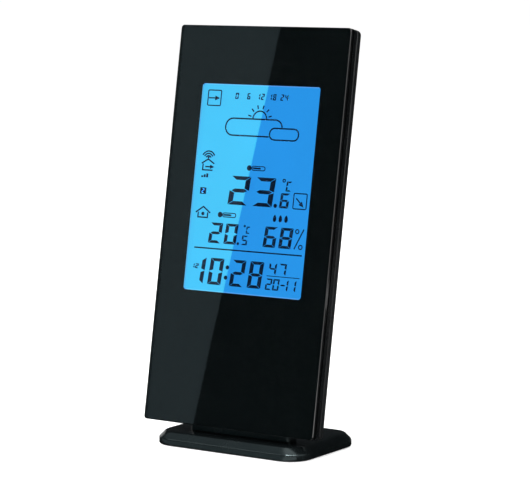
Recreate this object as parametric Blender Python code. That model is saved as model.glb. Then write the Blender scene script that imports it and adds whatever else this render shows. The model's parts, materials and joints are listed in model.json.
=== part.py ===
"""Home weather station: a glossy slab console with a backlit display, leaning on a bevelled foot.

The console plugs onto the foot's tongue and lifts off it. Its back carries a battery bay with a hinged
door, a row of keys, a light bar, a reset pinhole, air slots and sound holes.
Units are metres, +Z is up and the display faces -Y. The origin is on the ground, under the foot's middle.
Console pieces are drawn upright in the console's own axes, which start at the lower front edge of the
panel: x across, depth (y) towards the back and height (z) up the face. An empty then leans them back.
"""

import math

import bmesh
import bpy
from mathutils import Matrix, Vector

# Smoothness of round shapes
CORNER_STEPS = 6
CIRCLE_STEPS = 20
SMALL_CIRCLE_STEPS = 12
WIRE_STEPS = 6
SMOOTH_ANGLE = math.radians(40)

# Fits
GAP = 0.0003
WALL = 0.0016

# Foot
FOOT_WIDTH = 0.0708
FOOT_LENGTH = 0.0462
FOOT_CORNER = 0.0093
FOOT_LIFT = 0.0003
FOOT_SIDE_TOP = 0.0030
FOOT_TOP = 0.0056
FOOT_EDGE = 0.0004
FOOT_WALL = 0.0020
RIB_X = 0.0090
RIB_WIDTH = 0.0012
PAD_RADIUS = 0.0040
PAD_HEIGHT = 0.0010
PAD_X = 0.0262
PAD_Y = 0.0140
BOSS_RADIUS = 0.0050

# Console's stance and outline
LEAN = math.radians(9.9)
EDGE_Y = -0.0205
EDGE_Z = 0.0096
WIDTH = 0.0808
HEIGHT = 0.160
FRONT_CORNER = 0.0013
BACK_CORNER = 0.0022
PANEL_DEPTH = 0.0015
POLISHED_EDGE = 0.00025
MASK_DEPTHS = (0.0018, 0.0020)
CASE_FRONT = MASK_DEPTHS[1] + GAP
CASE_FLOOR = 0.0035
SEAM_DEPTH = 0.0045
COVER_FRONT = SEAM_DEPTH + GAP
RIM_BACK = 0.0078
RIM_EDGE = 0.0006
BACK = 0.0180
BACK_INSIDE = BACK - WALL
LIP_OUTSET = WALL + GAP
LIP_THICKNESS = 0.0008
LIP_BACK = 0.0051

# Bulge on the back, at the rim and how far it draws in towards its flat back
BULGE_HALF = 0.034
BULGE_LOW = 0.0030
BULGE_HIGH = 0.1550
BULGE_HALF_DRAFT = 0.0040
BULGE_LOW_DRAFT = 0.0015
BULGE_HIGH_DRAFT = 0.0040
BULGE_CORNER = 0.007
BULGE_EDGE = 0.0020
BULGE_ROOT = 0.0052

# Tongue on the foot, and the socket that takes it
NECK_HALF = 0.0236
NECK_DEPTHS = (0.0087, 0.0165)
NECK_LOW = -0.0045
NECK_CORNER = 0.0022
TONGUE_HALF = 0.0160
TONGUE_DEPTHS = (0.0094, 0.0130)
TONGUE_HIGH = 0.0120
SOCKET_WALL = 0.0010
SOCKET_HIGH = 0.0127

# Display window printed on the panel, and the stack behind it
WINDOW_HALF = 0.0282
WINDOW_HEIGHTS = (0.0535, 0.1367)
WINDOW_CORNER = 0.0012
GLASS_HALF = 0.0320
GLASS_HEIGHTS = (0.0465, 0.1410)
GLASS_DEPTHS = (0.00275, 0.00385, 0.00495)
CONTACT_LEDGE = 0.0035
FILM = 0.0002
LIGHT_HALF = 0.0290
LIGHT_HEIGHTS = (0.0505, 0.1374)
LIGHT_DEPTHS = (0.00565, 0.00785)
LIGHT_THIN_END = 0.0070
LED_X = 0.0130
HOLDER_HALF = 0.0312
HOLDER_HEIGHTS = (0.0446, 0.1411)
HOLDER_DEPTHS = (0.0052, 0.0094)
HOLDER_FLANGE = 0.0085
CLIP_HEIGHTS = (0.0600, 0.1240)
CLIP_HALF = 0.0020

# Circuit board and what it carries on its back
BOARD_HALF = 0.0286
BOARD_HEIGHTS = (0.0430, 0.1408)
BOARD_DEPTHS = (0.0097, 0.0109)
BOARD_CORNER = 0.0010
PARTS_FRONT = BOARD_DEPTHS[1] + GAP
SWITCH_SIDE = 0.0060
SWITCH_BACK = 0.0140
STEM_RADIUS = 0.0016
STEM_DEPTHS = (0.0133, 0.0148)
STEM_BORE_FLOOR = 0.0123
CHIP_PLACE = (0.0, 0.1000)
CHIP_RADIUS = 0.0080
CHIP_HEIGHT = 0.0017
CAPACITOR_PLACE = (-0.0220, 0.0650)
CAPACITOR_RADIUS = 0.0020
CAPACITOR_HEIGHT = 0.0045
CRYSTAL_PLACE = (0.0150, 0.0920)
CRYSTAL_RADIUS = 0.0010
CRYSTAL_LENGTH = 0.0060
BUZZER_RADIUS = 0.0070
BUZZER_HEIGHT = 0.0034
BUZZER_PORT = 0.0012
SENSOR_SIZE = (0.0100, 0.0080)
SENSOR_CORNER = 0.0010
SENSOR_HEIGHT = 0.0030
SENSOR_PORT = (0.0070, 0.0010)
SENSOR_PORT_PITCH = 0.0022
BEAD_PLACE = (-0.0020, 0.0785)
BEAD_RADIUS = 0.0012
BEAD_LEG = 0.0005
BEAD_LEG_LENGTH = 0.0022
RADIO_XS = (-0.0260, -0.0140)
RADIO_HEIGHTS = (0.1060, 0.1260)
RADIO_BOARD = 0.0010
SHIELD_INSET = 0.0015
SHIELD_HEIGHT = 0.0026
AERIAL_PLACE = (0.0180, 0.1080)
AERIAL_RADIUS = 0.0018
AERIAL_WIRE = 0.0004
AERIAL_PITCH = 0.0020
AERIAL_TURNS = 5

# Keys: name, x, height, width and height of the cap
KEY_SIZE = (0.0080, 0.0055)
KEY_ROW = 0.0530
KEY_PITCH = 0.0130
LIGHT_BAR_SIZE = (0.0300, 0.0080)
LIGHT_BAR_HEIGHT = 0.1340
KEYS = (
    ("mode", -1.5 * KEY_PITCH, KEY_ROW, *KEY_SIZE),
    ("up", -0.5 * KEY_PITCH, KEY_ROW, *KEY_SIZE),
    ("down", 0.5 * KEY_PITCH, KEY_ROW, *KEY_SIZE),
    ("channel", 1.5 * KEY_PITCH, KEY_ROW, *KEY_SIZE),
    ("light", 0.0, LIGHT_BAR_HEIGHT, *LIGHT_BAR_SIZE),
)
KEY_CORNER = 0.4
KEY_STEPS = 4
KEY_FLANGE = 0.0009
KEY_PROUD = 0.0009
RESET_PLACE = (0.0195, 0.0640)
RESET_HOLE = 0.0012

# Air slots and sound holes
SLOT_PLACE = (-0.0140, 0.0785)
SLOT_SIZE = (0.0150, 0.0014)
SLOT_PITCH = 0.0032
SLOT_COUNT = 5
SOUND_PLACE = (0.0145, 0.0785)
SOUND_HOLE = 0.0008
SOUND_RING = 0.0035
SOUND_COUNT = 6

# Case screws
SCREW_PLACES = ((-0.0235, 0.0088), (0.0235, 0.0088), (-0.0235, 0.1455), (0.0235, 0.1455))
POST_RADIUS = 0.0026
POST_BACK = 0.0084
WELL_RADIUS = 0.0040
WELL_BORE = 0.0029
WELL_DEPTHS = (0.0087, 0.0099)
SHANK_RADIUS = 0.0009
SHANK_FRONT = 0.0045
HEAD_RADIUS = 0.0022
HEAD_DEPTHS = (0.0102, 0.0116)

# Battery bay, its two cells and their contacts
CELL_RADIUS = 0.00525
CELL_LENGTH = 0.0435
NUB_RADIUS = 0.0019
NUB_LENGTH = 0.0010
CELL_HEIGHTS = (0.0218, 0.0342)
CELL_DEPTH = 0.01075
CELL_SHIFT = 0.00085
TRAY_HALF = 0.0254
TRAY_HEIGHTS = (0.0155, 0.0405)
TRAY_WALL = 0.0012
TRAY_FLOOR = (0.0040, 0.0052)
CONTACT_X = (0.0247, 0.0251)
CONTACT_DEPTHS = (0.0067, 0.0148)
CONTACT_HALF = 0.0040
DIMPLE = 0.0007
SPRING_WIRE = 0.00030
SPRING_TURNS = 2.5
SPRING_RADII = (0.0036, 0.0024)
TAIL_X = 0.0275
TAIL_DEPTHS = (0.0138, 0.0116)
TAIL_HALF = 0.0005
LEAD_RADIUS = 0.0006
LEAD_X = 0.0283
LEAD_ENDS = (0.0262, 0.0225)

# Battery door
DOOR_HALF = 0.0262
DOOR_HEIGHTS = (0.0148, 0.0412)
DOOR_FRONT = 0.0167
DOOR_CORNER = 0.0012
HINGE_DEPTH = 0.0168
HINGE_HEIGHT = 0.0160
BARREL_RADIUS = 0.0011
PIN_RADIUS = 0.0005
PIN_END = 0.0277
RAIL_HALF = 0.0292
RAIL_FRONT = 0.0150
RAIL_HEIGHTS = (0.0132, 0.0178)
TAB_HALF = 0.0075
TAB_SLOT = 0.0008
TAB_LOW = 0.0330
GRIP_COUNT = 4
GRIP_PITCH = 0.0014
GRIP_PROUD = 0.0004


def clear_scene():
    """Starts from an empty scene."""
    for piece in list(bpy.data.objects):
        bpy.data.objects.remove(piece, do_unlink=True)


def make_material(name, colour, roughness, metallic=0.0):
    """A plain Principled material."""
    material = bpy.data.materials.new(name)
    material.use_nodes = True
    shader = material.node_tree.nodes["Principled BSDF"]
    shader.inputs["Base Color"].default_value = (*colour, 1.0)
    shader.inputs["Roughness"].default_value = roughness
    shader.inputs["Metallic"].default_value = metallic
    return material


def rounded(width, height, radius, steps=CORNER_STEPS):
    """Points round a rectangle with round corners, centred on zero."""
    points = []
    signs = ((1, -1), (1, 1), (-1, 1), (-1, -1))
    for corner, (right, up) in enumerate(signs):
        for step in range(steps + 1):
            angle = math.radians(90 * (corner - 1 + step / steps))
            across = right * (width / 2 - radius) + radius * math.cos(angle)
            along = up * (height / 2 - radius) + radius * math.sin(angle)
            points.append((across, along))
    return points


def circle(radius, steps=CIRCLE_STEPS):
    """Points round a circle, centred on zero."""
    turn = 2 * math.pi / steps
    return [(radius * math.cos(turn * i), radius * math.sin(turn * i)) for i in range(steps)]


def upright(points, depth, x=0.0, height=0.0):
    """An outline drawn in the plane of the console's face."""
    return [Vector((x + a, depth, height + b)) for a, b in points]


def level(points, height, x=0.0, y=0.0):
    """An outline drawn flat on the ground."""
    return [Vector((x + a, y + b, height)) for a, b in points]


def sideways(points, x, depth, height):
    """An outline drawn square to the console's x axis."""
    return [Vector((x, depth + a, height + b)) for a, b in points]


def softened(corners, reach):
    """A profile whose inner corners are rounded, each over the given reach."""
    points = [Vector(corners[0])]
    for before, corner, after in zip(corners, corners[1:], corners[2:]):
        corner = Vector(corner)
        start = corner + (Vector(before) - corner).normalized() * reach
        end = corner + (Vector(after) - corner).normalized() * reach
        points += [start, (start + 2 * corner + end) / 4, end]
    return points + [Vector(corners[-1])]


def solid(name, rings):
    """A closed solid lofted through rings that have the same number of points."""
    mesh = bpy.data.meshes.new(name)
    build = bmesh.new()
    loops = [[build.verts.new(point) for point in ring] for ring in rings]
    for low, high in zip(loops, loops[1:]):
        for i, corner in enumerate(low):
            j = (i + 1) % len(low)
            build.faces.new((corner, low[j], high[j], high[i]))
    build.faces.new(loops[0])
    build.faces.new(loops[-1])
    bmesh.ops.recalc_face_normals(build, faces=build.faces)
    build.to_mesh(mesh)
    build.free()
    piece = bpy.data.objects.new(name, mesh)
    bpy.context.scene.collection.objects.link(piece)
    return piece


def box(name, xs, depths, heights):
    """A block between two values on each of the console's axes."""
    corners = [(xs[0], heights[0]), (xs[1], heights[0]), (xs[1], heights[1]), (xs[0], heights[1])]
    return solid(name, [upright(corners, depth) for depth in depths])


def plate(name, size, corner, profile, x=0.0, height=0.0, steps=CORNER_STEPS):
    """A rounded rectangle lofted through a profile of (depth, inset) pairs."""
    rings = []
    for depth, inset in profile:
        outline = rounded(size[0] - 2 * inset, size[1] - 2 * inset, corner - inset, steps)
        rings.append(upright(outline, depth, x, height))
    return solid(name, rings)


def turned(name, profile, x, height, steps=CIRCLE_STEPS):
    """A solid turned about a line that runs from front to back, from (depth, radius) pairs."""
    return solid(name, [upright(circle(radius, steps), depth, x, height) for depth, radius in profile])


def rod(name, radius, xs, depth, height, steps=SMALL_CIRCLE_STEPS):
    """A round bar that runs across the console."""
    return solid(name, [sideways(circle(radius, steps), x, depth, height) for x in xs])


def tube(name, path, radius, steps=SMALL_CIRCLE_STEPS):
    """A round wire along a path of points, with rings square to the path."""
    points = [Vector(point) for point in path]
    rings = []
    side = None
    for i, point in enumerate(points):
        along = (points[min(i + 1, len(points) - 1)] - points[max(i - 1, 0)]).normalized()
        side = along.orthogonal() if side is None else side - along * side.dot(along)
        side.normalize()
        other = along.cross(side)
        rings.append([point + side * a + other * b for a, b in circle(radius, steps)])
    return solid(name, rings)


def smooth_path(corners, steps=6):
    """A route through points, with each inner corner turned by a curve."""
    points = [Vector(corners[0])]
    for before, corner, after in zip(corners, corners[1:], corners[2:]):
        start = (Vector(before) + Vector(corner)) / 2
        end = (Vector(corner) + Vector(after)) / 2
        for step in range(steps + 1):
            u = step / steps
            points.append(start * (1 - u) ** 2 + Vector(corner) * 2 * u * (1 - u) + end * u**2)
    return points + [Vector(corners[-1])]


def combine(piece, operation, tools):
    """Joins other solids to a piece, or cuts them from it, and keeps only the result."""
    for tool in tools:
        step = piece.modifiers.new(operation.lower(), "BOOLEAN")
        step.operation = operation
        step.object = tool
    bpy.context.view_layer.update()
    graph = bpy.context.evaluated_depsgraph_get()
    shape = bpy.data.meshes.new_from_object(piece.evaluated_get(graph))
    piece.modifiers.clear()
    piece.data = shape
    for tool in tools:
        bpy.data.objects.remove(tool, do_unlink=True)
    return piece


def add(piece, *tools):
    return combine(piece, "UNION", tools)


def cut(piece, *tools):
    return combine(piece, "DIFFERENCE", tools)


def place(piece, material, parent=None, origin=(0.0, 0.0, 0.0)):
    """Gives a finished piece its material, its parent and an origin to move about."""
    piece.data.materials.clear()
    piece.data.materials.append(material)
    piece.data.transform(Matrix.Translation(-Vector(origin)))
    piece.location = origin
    piece.parent = parent
    piece.data.shade_smooth()
    piece.data.set_sharp_from_angle(angle=SMOOTH_ANGLE)
    return piece


def leaning_frame():
    """The empty that holds the console's axes, leaning back above the foot."""
    frame = bpy.data.objects.new("console_frame", None)
    frame.location = (0.0, EDGE_Y, EDGE_Z)
    frame.rotation_euler = (-LEAN, 0.0, 0.0)
    bpy.context.scene.collection.objects.link(frame)
    return frame


def lean(piece):
    """Leans a piece that was drawn in the console's axes but belongs to the foot."""
    turn = Matrix.Rotation(-LEAN, 4, "X")
    piece.data.transform(Matrix.Translation((0.0, EDGE_Y, EDGE_Z)) @ turn)
    return piece


def foot_ring(height, inset):
    outline = rounded(FOOT_WIDTH - 2 * inset, FOOT_LENGTH - 2 * inset, FOOT_CORNER - inset)
    return level(outline, height)


def make_foot(material):
    """The bevelled foot: a ribbed shell with a hollow neck and the tongue that carries the console."""
    bevel = FOOT_TOP - FOOT_SIDE_TOP
    corners = (
        (FOOT_LIFT, FOOT_EDGE),
        (FOOT_LIFT + FOOT_EDGE, 0.0),
        (FOOT_SIDE_TOP, 0.0),
        (FOOT_TOP, bevel),
        (FOOT_TOP, FOOT_CORNER / 2),
    )
    profile = softened(corners[1:], FOOT_EDGE)
    foot = solid("stand_base", [foot_ring(*corners[0])] + [foot_ring(*pair) for pair in profile])
    hollow_heights = (-FOOT_LIFT, FOOT_TOP - FOOT_WALL)
    cut(foot, solid("hollow", [foot_ring(height, FOOT_WALL) for height in hollow_heights]))
    neck_size = (2 * NECK_HALF, NECK_DEPTHS[1] - NECK_DEPTHS[0])
    neck_middle = sum(NECK_DEPTHS) / 2
    neck_outline = rounded(*neck_size, NECK_CORNER)
    neck_high = BULGE_LOW - GAP
    neck = solid("neck", [level(neck_outline, h, y=neck_middle) for h in (NECK_LOW, neck_high)])
    tongue = box("tongue", (-TONGUE_HALF, TONGUE_HALF), TONGUE_DEPTHS, (NECK_LOW, TONGUE_HIGH))
    ribs = []
    for x in (-RIB_X, RIB_X):
        reach = FOOT_LENGTH / 2 - FOOT_WALL / 2
        xs = (x - RIB_WIDTH / 2, x + RIB_WIDTH / 2)
        ribs.append(box("rib", xs, (-reach, reach), (FOOT_LIFT + FOOT_EDGE, FOOT_TOP - FOOT_WALL / 2)))
    bosses = []
    for x, y in pad_places():
        heights = (PAD_HEIGHT + GAP, FOOT_TOP - FOOT_WALL / 2)
        bosses.append(solid("boss", [level(circle(BOSS_RADIUS), h, x, y) for h in heights]))
    add(foot, lean(neck), *ribs, *bosses)
    add(foot, lean(tongue))
    pocket_xs = (FOOT_WALL - NECK_HALF, NECK_HALF - FOOT_WALL)
    pocket_depths = (NECK_DEPTHS[0] + FOOT_WALL, NECK_DEPTHS[1] - FOOT_WALL)
    cut(foot, lean(box("pocket", pocket_xs, pocket_depths, (2 * NECK_LOW, neck_high - FOOT_WALL))))
    place(foot, material)


def pad_places():
    return [(x, y) for x in (-PAD_X, PAD_X) for y in (-PAD_Y, PAD_Y)]


def make_pads(material):
    """Four rubber pads that the foot stands on."""
    edge = PAD_HEIGHT / 4
    profile = ((0.0, edge), (edge, 0.0), (PAD_HEIGHT, 0.0))
    for number, (x, y) in enumerate(pad_places(), 1):
        rings = [level(circle(PAD_RADIUS - inset), height, x, y) for height, inset in profile]
        place(solid(f"stand_pad_{number}", rings), material)


def make_panel(frame, materials):
    """The clear front panel with polished edges, and the black mask behind it with the display's window."""
    edge = POLISHED_EDGE
    profile = ((0.0, edge), (edge, 0.0), (PANEL_DEPTH - edge / 2, 0.0), (PANEL_DEPTH, edge / 2))
    place(slab("front_panel", profile), materials["panel"], frame)
    mask = case_plate("panel_mask", 0.0, MASK_DEPTHS)
    size = (2 * WINDOW_HALF, WINDOW_HEIGHTS[1] - WINDOW_HEIGHTS[0])
    through = ((0.0, 0.0), (BACK, 0.0))
    cut(mask, plate("window", size, WINDOW_CORNER, through, height=sum(WINDOW_HEIGHTS) / 2))
    place(mask, materials["mask"], frame)


def slab(name, profile):
    """A plate with the console's outline, from (depth, inset) pairs; its corners grow rounder with depth."""
    rings = []
    for depth, inset in profile:
        corner = FRONT_CORNER + (BACK_CORNER - FRONT_CORNER) * min(depth / RIM_BACK, 1.0) - inset
        outline = rounded(WIDTH - 2 * inset, HEIGHT - 2 * inset, max(corner, WALL / 4))
        rings.append(upright(outline, depth, 0.0, HEIGHT / 2))
    return solid(name, rings)


def case_plate(name, inset, depths):
    return slab(name, [(depth, inset) for depth in depths])


def make_front_case(frame, material):
    """The tray behind the panel, with the display's opening, a locating lip and four screw posts."""
    case = case_plate("front_case", 0.0, (CASE_FRONT, SEAM_DEPTH))
    cut(case, case_plate("hollow", WALL, (CASE_FLOOR, RIM_BACK)))
    lip_floor = (CASE_FRONT + CASE_FLOOR) / 2
    lip = case_plate("lip", LIP_OUTSET, (lip_floor, LIP_BACK))
    cut(lip, case_plate("inside", LIP_OUTSET + LIP_THICKNESS, (0.0, RIM_BACK)))
    post = [(depth, POST_RADIUS) for depth in (lip_floor, POST_BACK)]
    posts = [turned("post", post, *spot) for spot in SCREW_PLACES]
    bridge = case_plate("bridge", WALL / 2, (lip_floor, CASE_FLOOR + GAP))
    cut(bridge, case_plate("inside", LIP_OUTSET + LIP_THICKNESS / 2, (0.0, RIM_BACK)))
    add(case, bridge, lip, *posts)
    xs = (-GLASS_HALF - GAP, GLASS_HALF + GAP)
    heights = (GLASS_HEIGHTS[0] - GAP, GLASS_HEIGHTS[1] + GAP)
    pilot = ((CASE_FLOOR + GAP, SHANK_RADIUS + GAP), (BACK, SHANK_RADIUS + GAP))
    pilots = [turned("pilot", pilot, *spot, SMALL_CIRCLE_STEPS) for spot in SCREW_PLACES]
    cut(case, box("window", xs, (0.0, BACK), heights), *pilots)
    place(case, material, frame)


def bulge_ring(depth, inset):
    """The bulge's outline at a depth, drawn in by the draft and by an inset."""
    share = (depth - RIM_BACK) / (BACK - RIM_BACK)
    half = BULGE_HALF - BULGE_HALF_DRAFT * share - inset
    low = BULGE_LOW + BULGE_LOW_DRAFT * share + inset
    high = BULGE_HIGH - BULGE_HIGH_DRAFT * share - inset
    outline = rounded(2 * half, high - low, BULGE_CORNER - inset)
    return upright(outline, depth, 0.0, (low + high) / 2)


def arc_profile(depth, radius, steps=4):
    """(depth, inset) pairs of a round edge that ends at a depth."""
    pairs = []
    for step in range(steps + 1):
        angle = math.pi / 2 * step / steps
        pairs.append((depth - radius + radius * math.sin(angle), radius * (1 - math.cos(angle))))
    return pairs


def cover_shell():
    """The rear cover's rim and drafted bulge, hollowed to an even wall."""
    profile = [(COVER_FRONT, GAP), (COVER_FRONT + GAP, 0.0)] + arc_profile(RIM_BACK, RIM_EDGE)
    shell = slab("rear_cover", profile)
    back = [(BULGE_ROOT, 0.0)] + arc_profile(BACK, BULGE_EDGE)
    add(shell, solid("bulge", [bulge_ring(*pair) for pair in back]))
    hollow = solid("hollow", [bulge_ring(depth, WALL) for depth in (CASE_FLOOR, BACK_INSIDE)])
    return cut(shell, hollow, case_plate("rim_hollow", WALL, (CASE_FLOOR, RIM_BACK - WALL)))


def cover_insides():
    """Solid blocks inside the cover that the bay, hinge, socket and screw wells are cut from."""
    behind = BACK_INSIDE + WALL / 2
    tray_xs = (-TRAY_HALF - TRAY_WALL, TRAY_HALF + TRAY_WALL)
    tray_heights = (TRAY_HEIGHTS[0] - TRAY_WALL, TRAY_HEIGHTS[1] + TRAY_WALL)
    blocks = [box("tray", tray_xs, (TRAY_FLOOR[0], behind), tray_heights)]
    blocks.append(box("rail", (-RAIL_HALF, RAIL_HALF), (RAIL_FRONT, behind), RAIL_HEIGHTS))
    socket_half = TONGUE_HALF + GAP + SOCKET_WALL
    reach = GAP + SOCKET_WALL
    socket_depths = (TONGUE_DEPTHS[0] - reach, TONGUE_DEPTHS[1] + reach)
    socket_heights = (BULGE_LOW + WALL / 2, SOCKET_HIGH + SOCKET_WALL)
    blocks.append(box("socket", (-socket_half, socket_half), socket_depths, socket_heights))
    for spot in SCREW_PLACES:
        blocks.append(turned("well", [(WELL_DEPTHS[0], WELL_RADIUS), (behind, WELL_RADIUS)], *spot))
    return blocks


def hinge_rod(name, radius, half, steps=SMALL_CIRCLE_STEPS):
    """A round bar on the line that the battery door turns about."""
    return rod(name, radius, (-half, half), HINGE_DEPTH, HINGE_HEIGHT, steps)


def bay_openings():
    """Cutters for the battery bay, the door's seat, its hinge and the contacts' tails."""
    tray = box("bay", (-TRAY_HALF, TRAY_HALF), (TRAY_FLOOR[1], 2 * BACK), TRAY_HEIGHTS)
    seat_xs = (-DOOR_HALF - GAP, DOOR_HALF + GAP)
    seat_heights = (DOOR_HEIGHTS[0] - GAP, DOOR_HEIGHTS[1] + GAP)
    cutters = [tray, box("seat", seat_xs, (DOOR_FRONT - GAP, 2 * BACK), seat_heights)]
    cutters.append(hinge_rod("trough", BARREL_RADIUS + GAP, DOOR_HALF + GAP, CIRCLE_STEPS))
    cutters.append(hinge_rod("pin_hole", PIN_RADIUS + GAP, PIN_END + GAP))
    for height, depth in zip(CELL_HEIGHTS, TAIL_DEPTHS):
        half = TAIL_HALF + GAP
        depths = (depth - half, depth + half)
        heights = (height - 3 * half, height + 3 * half)
        cutters.append(box("tail_way", (-TAIL_X, TRAY_WALL - TRAY_HALF), depths, heights))
    return cutters


def back_openings():
    """Cutters for the keys, the reset pinhole, the air slots, the sound holes, the wells and the socket."""
    through = (BACK_INSIDE - WALL, 2 * BACK)
    cutters = []
    for _, x, height, across, along in KEYS:
        size = (across + 2 * GAP, along + 2 * GAP)
        profile = [(depth, 0.0) for depth in through]
        cutters.append(plate("key_hole", size, size[1] * KEY_CORNER, profile, x, height, KEY_STEPS))
    holes = [(RESET_PLACE, RESET_HOLE), (SOUND_PLACE, SOUND_HOLE)]
    for number in range(SOUND_COUNT):
        angle = 2 * math.pi * number / SOUND_COUNT
        x = SOUND_PLACE[0] + SOUND_RING * math.cos(angle)
        height = SOUND_PLACE[1] + SOUND_RING * math.sin(angle)
        holes.append(((x, height), SOUND_HOLE))
    for spot, radius in holes:
        cutters.append(turned("hole", [(d, radius) for d in through], *spot, SMALL_CIRCLE_STEPS))
    for number in range(SLOT_COUNT):
        height = SLOT_PLACE[1] + SLOT_PITCH * (number - (SLOT_COUNT - 1) / 2)
        outline = rounded(*SLOT_SIZE, SLOT_SIZE[1] * 0.45, 3)
        cutters.append(solid("slot", [upright(outline, d, SLOT_PLACE[0], height) for d in through]))
    for spot in SCREW_PLACES:
        cutters.append(turned("bore", [(WELL_DEPTHS[1], WELL_BORE), (2 * BACK, WELL_BORE)], *spot))
        hole = SHANK_RADIUS + GAP
        cutters.append(turned("hole", [(CASE_FLOOR, hole), (BACK_INSIDE, hole)], *spot, SMALL_CIRCLE_STEPS))
    half = TONGUE_HALF + GAP
    depths = (TONGUE_DEPTHS[0] - GAP, TONGUE_DEPTHS[1] + GAP)
    cutters.append(box("socket_hole", (-half, half), depths, (-BULGE_LOW, SOCKET_HIGH)))
    return cutters


def make_rear_cover(frame, material):
    """The moulded rear cover: rim, bulge, battery bay, stand socket, screw wells and openings."""
    cover = cover_shell()
    add(cover, *cover_insides())
    cut(cover, *bay_openings(), *back_openings())
    place(cover, material, frame)


def make_display(frame, materials):
    """The liquid crystal cell between its two films, and the rubber connector below it."""
    front, middle, back = GLASS_DEPTHS
    xs = (-GLASS_HALF, GLASS_HALF)
    glass = box("lcd_glass", xs, (front, middle + FILM), GLASS_HEIGHTS)
    rear_heights = (GLASS_HEIGHTS[0] + CONTACT_LEDGE, GLASS_HEIGHTS[1])
    add(glass, box("rear_glass", xs, (middle, back), rear_heights))
    place(glass, materials["glass"], frame)
    film_heights = (rear_heights[0] + 2 * GAP, LIGHT_HEIGHTS[1] + 2 * GAP)
    film_xs = (-LIGHT_HALF, LIGHT_HALF)
    films = (("lcd_polariser", CASE_FRONT, "display"), ("lcd_transflector", HOLDER_DEPTHS[0], "film"))
    for name, depth, finish in films:
        film = box(name, film_xs, (depth, depth + FILM), film_heights)
        place(film, materials[finish], frame)
    strip_heights = (GLASS_HEIGHTS[0] + 2 * GAP, rear_heights[0] - 2 * GAP)
    strip_depths = (middle + FILM + GAP, BOARD_DEPTHS[0] - GAP)
    strip_half = LIGHT_HALF - 3 * GAP
    strip = box("zebra_connector", (-strip_half, strip_half), strip_depths, strip_heights)
    place(strip, materials["rubber"], frame)


def make_backlight(frame, materials):
    """The wedge light guide lit from above, its white backing and the strip that carries its lamps."""
    low, high = LIGHT_HEIGHTS
    front, back = LIGHT_DEPTHS
    half = LIGHT_HALF
    wedge = [(front, low), (LIGHT_THIN_END, low), (back, high), (front, high)]
    guide = solid("light_guide", [sideways(wedge, x, 0.0, 0.0) for x in (-half, half)])
    place(guide, materials["acrylic"], frame)
    sheet_depths = (back + GAP, back + GAP + FILM)
    place(box("backlight_reflector", (-half, half), sheet_depths, LIGHT_HEIGHTS), materials["white"], frame)
    lamp_heights = (high + GAP, high + 3 * GAP)
    strip_heights = (lamp_heights[1] + GAP, lamp_heights[1] + GAP + 2 * WALL / 3)
    strip = box("backlight_strip", (-half, half), LIGHT_DEPTHS, strip_heights)
    place(strip, materials["board"], frame)
    for name, x in (("left", -LED_X), ("right", LED_X)):
        lamp_depths = (front + GAP, back - GAP)
        lamp = box(f"backlight_led_{name}", (x - WALL, x + WALL), lamp_depths, lamp_heights)
        place(lamp, materials["white"], frame)


def make_holder(frame, material):
    """The frame that holds the backlight behind the glass and clips the circuit board to its back."""
    front, back = HOLDER_DEPTHS
    holder = box("lcd_holder", (-HOLDER_HALF, HOLDER_HALF), HOLDER_DEPTHS, HOLDER_HEIGHTS)
    clips = []
    for side in (-1, 1):
        for height in CLIP_HEIGHTS:
            heights = (height - CLIP_HALF, height + CLIP_HALF)
            post = sorted((side * (BOARD_HALF + GAP), side * (BOARD_HALF + 4 * GAP)))
            barb = sorted((side * (BOARD_HALF - 2 * GAP), side * (BOARD_HALF + 3 * GAP)))
            barb_depths = (PARTS_FRONT, PARTS_FRONT + 3 * GAP)
            clips.append(box("clip", post, (HOLDER_FLANGE, barb_depths[1]), heights))
            clips.append(box("barb", barb, barb_depths, (heights[0] + FILM, heights[1] - FILM)))
    add(holder, *clips)
    inner_half = LIGHT_HALF + GAP
    inner_heights = (LIGHT_HEIGHTS[0] - GAP, HOLDER_HEIGHTS[1] - 4 * GAP)
    bed = box("bed", (-inner_half, inner_half), (0.0, HOLDER_FLANGE), inner_heights)
    window_heights = (WINDOW_HEIGHTS[0] + WALL, WINDOW_HEIGHTS[1] - WALL)
    window = box("window", (WALL - WINDOW_HALF, WINDOW_HALF - WALL), (0.0, BACK), window_heights)
    slot_heights = (GLASS_HEIGHTS[0] + GAP, GLASS_HEIGHTS[0] + CONTACT_LEDGE - GAP)
    slot_half = LIGHT_HALF - 2 * GAP
    slot = box("slot", (-slot_half, slot_half), (0.0, BACK), slot_heights)
    cut(holder, bed, window, slot)
    place(holder, material, frame)


def make_board(frame, materials):
    """The circuit board with its bonded controller, supply capacitor and clock crystal."""
    size = (2 * BOARD_HALF, BOARD_HEIGHTS[1] - BOARD_HEIGHTS[0])
    profile = [(depth, 0.0) for depth in BOARD_DEPTHS]
    board = plate("main_board", size, BOARD_CORNER, profile, height=sum(BOARD_HEIGHTS) / 2)
    place(board, materials["board"], frame)
    dome = []
    for step in range(5):
        angle = math.radians(18 * step)
        dome.append((PARTS_FRONT + CHIP_HEIGHT * math.sin(angle), CHIP_RADIUS * math.cos(angle)))
    place(turned("controller_chip", dome, *CHIP_PLACE), materials["epoxy"], frame)
    rim = CAPACITOR_RADIUS / 5
    top = PARTS_FRONT + CAPACITOR_HEIGHT
    can = [(PARTS_FRONT, CAPACITOR_RADIUS), (top - rim, CAPACITOR_RADIUS), (top, CAPACITOR_RADIUS - rim)]
    capacitor = turned("capacitor", can, *CAPACITOR_PLACE, SMALL_CIRCLE_STEPS)
    place(capacitor, materials["metal"], frame)
    x, height = CRYSTAL_PLACE
    ends = (x - CRYSTAL_LENGTH / 2, x + CRYSTAL_LENGTH / 2)
    crystal = rod("clock_crystal", CRYSTAL_RADIUS, ends, PARTS_FRONT + CRYSTAL_RADIUS, height)
    place(crystal, materials["metal"], frame)


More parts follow.
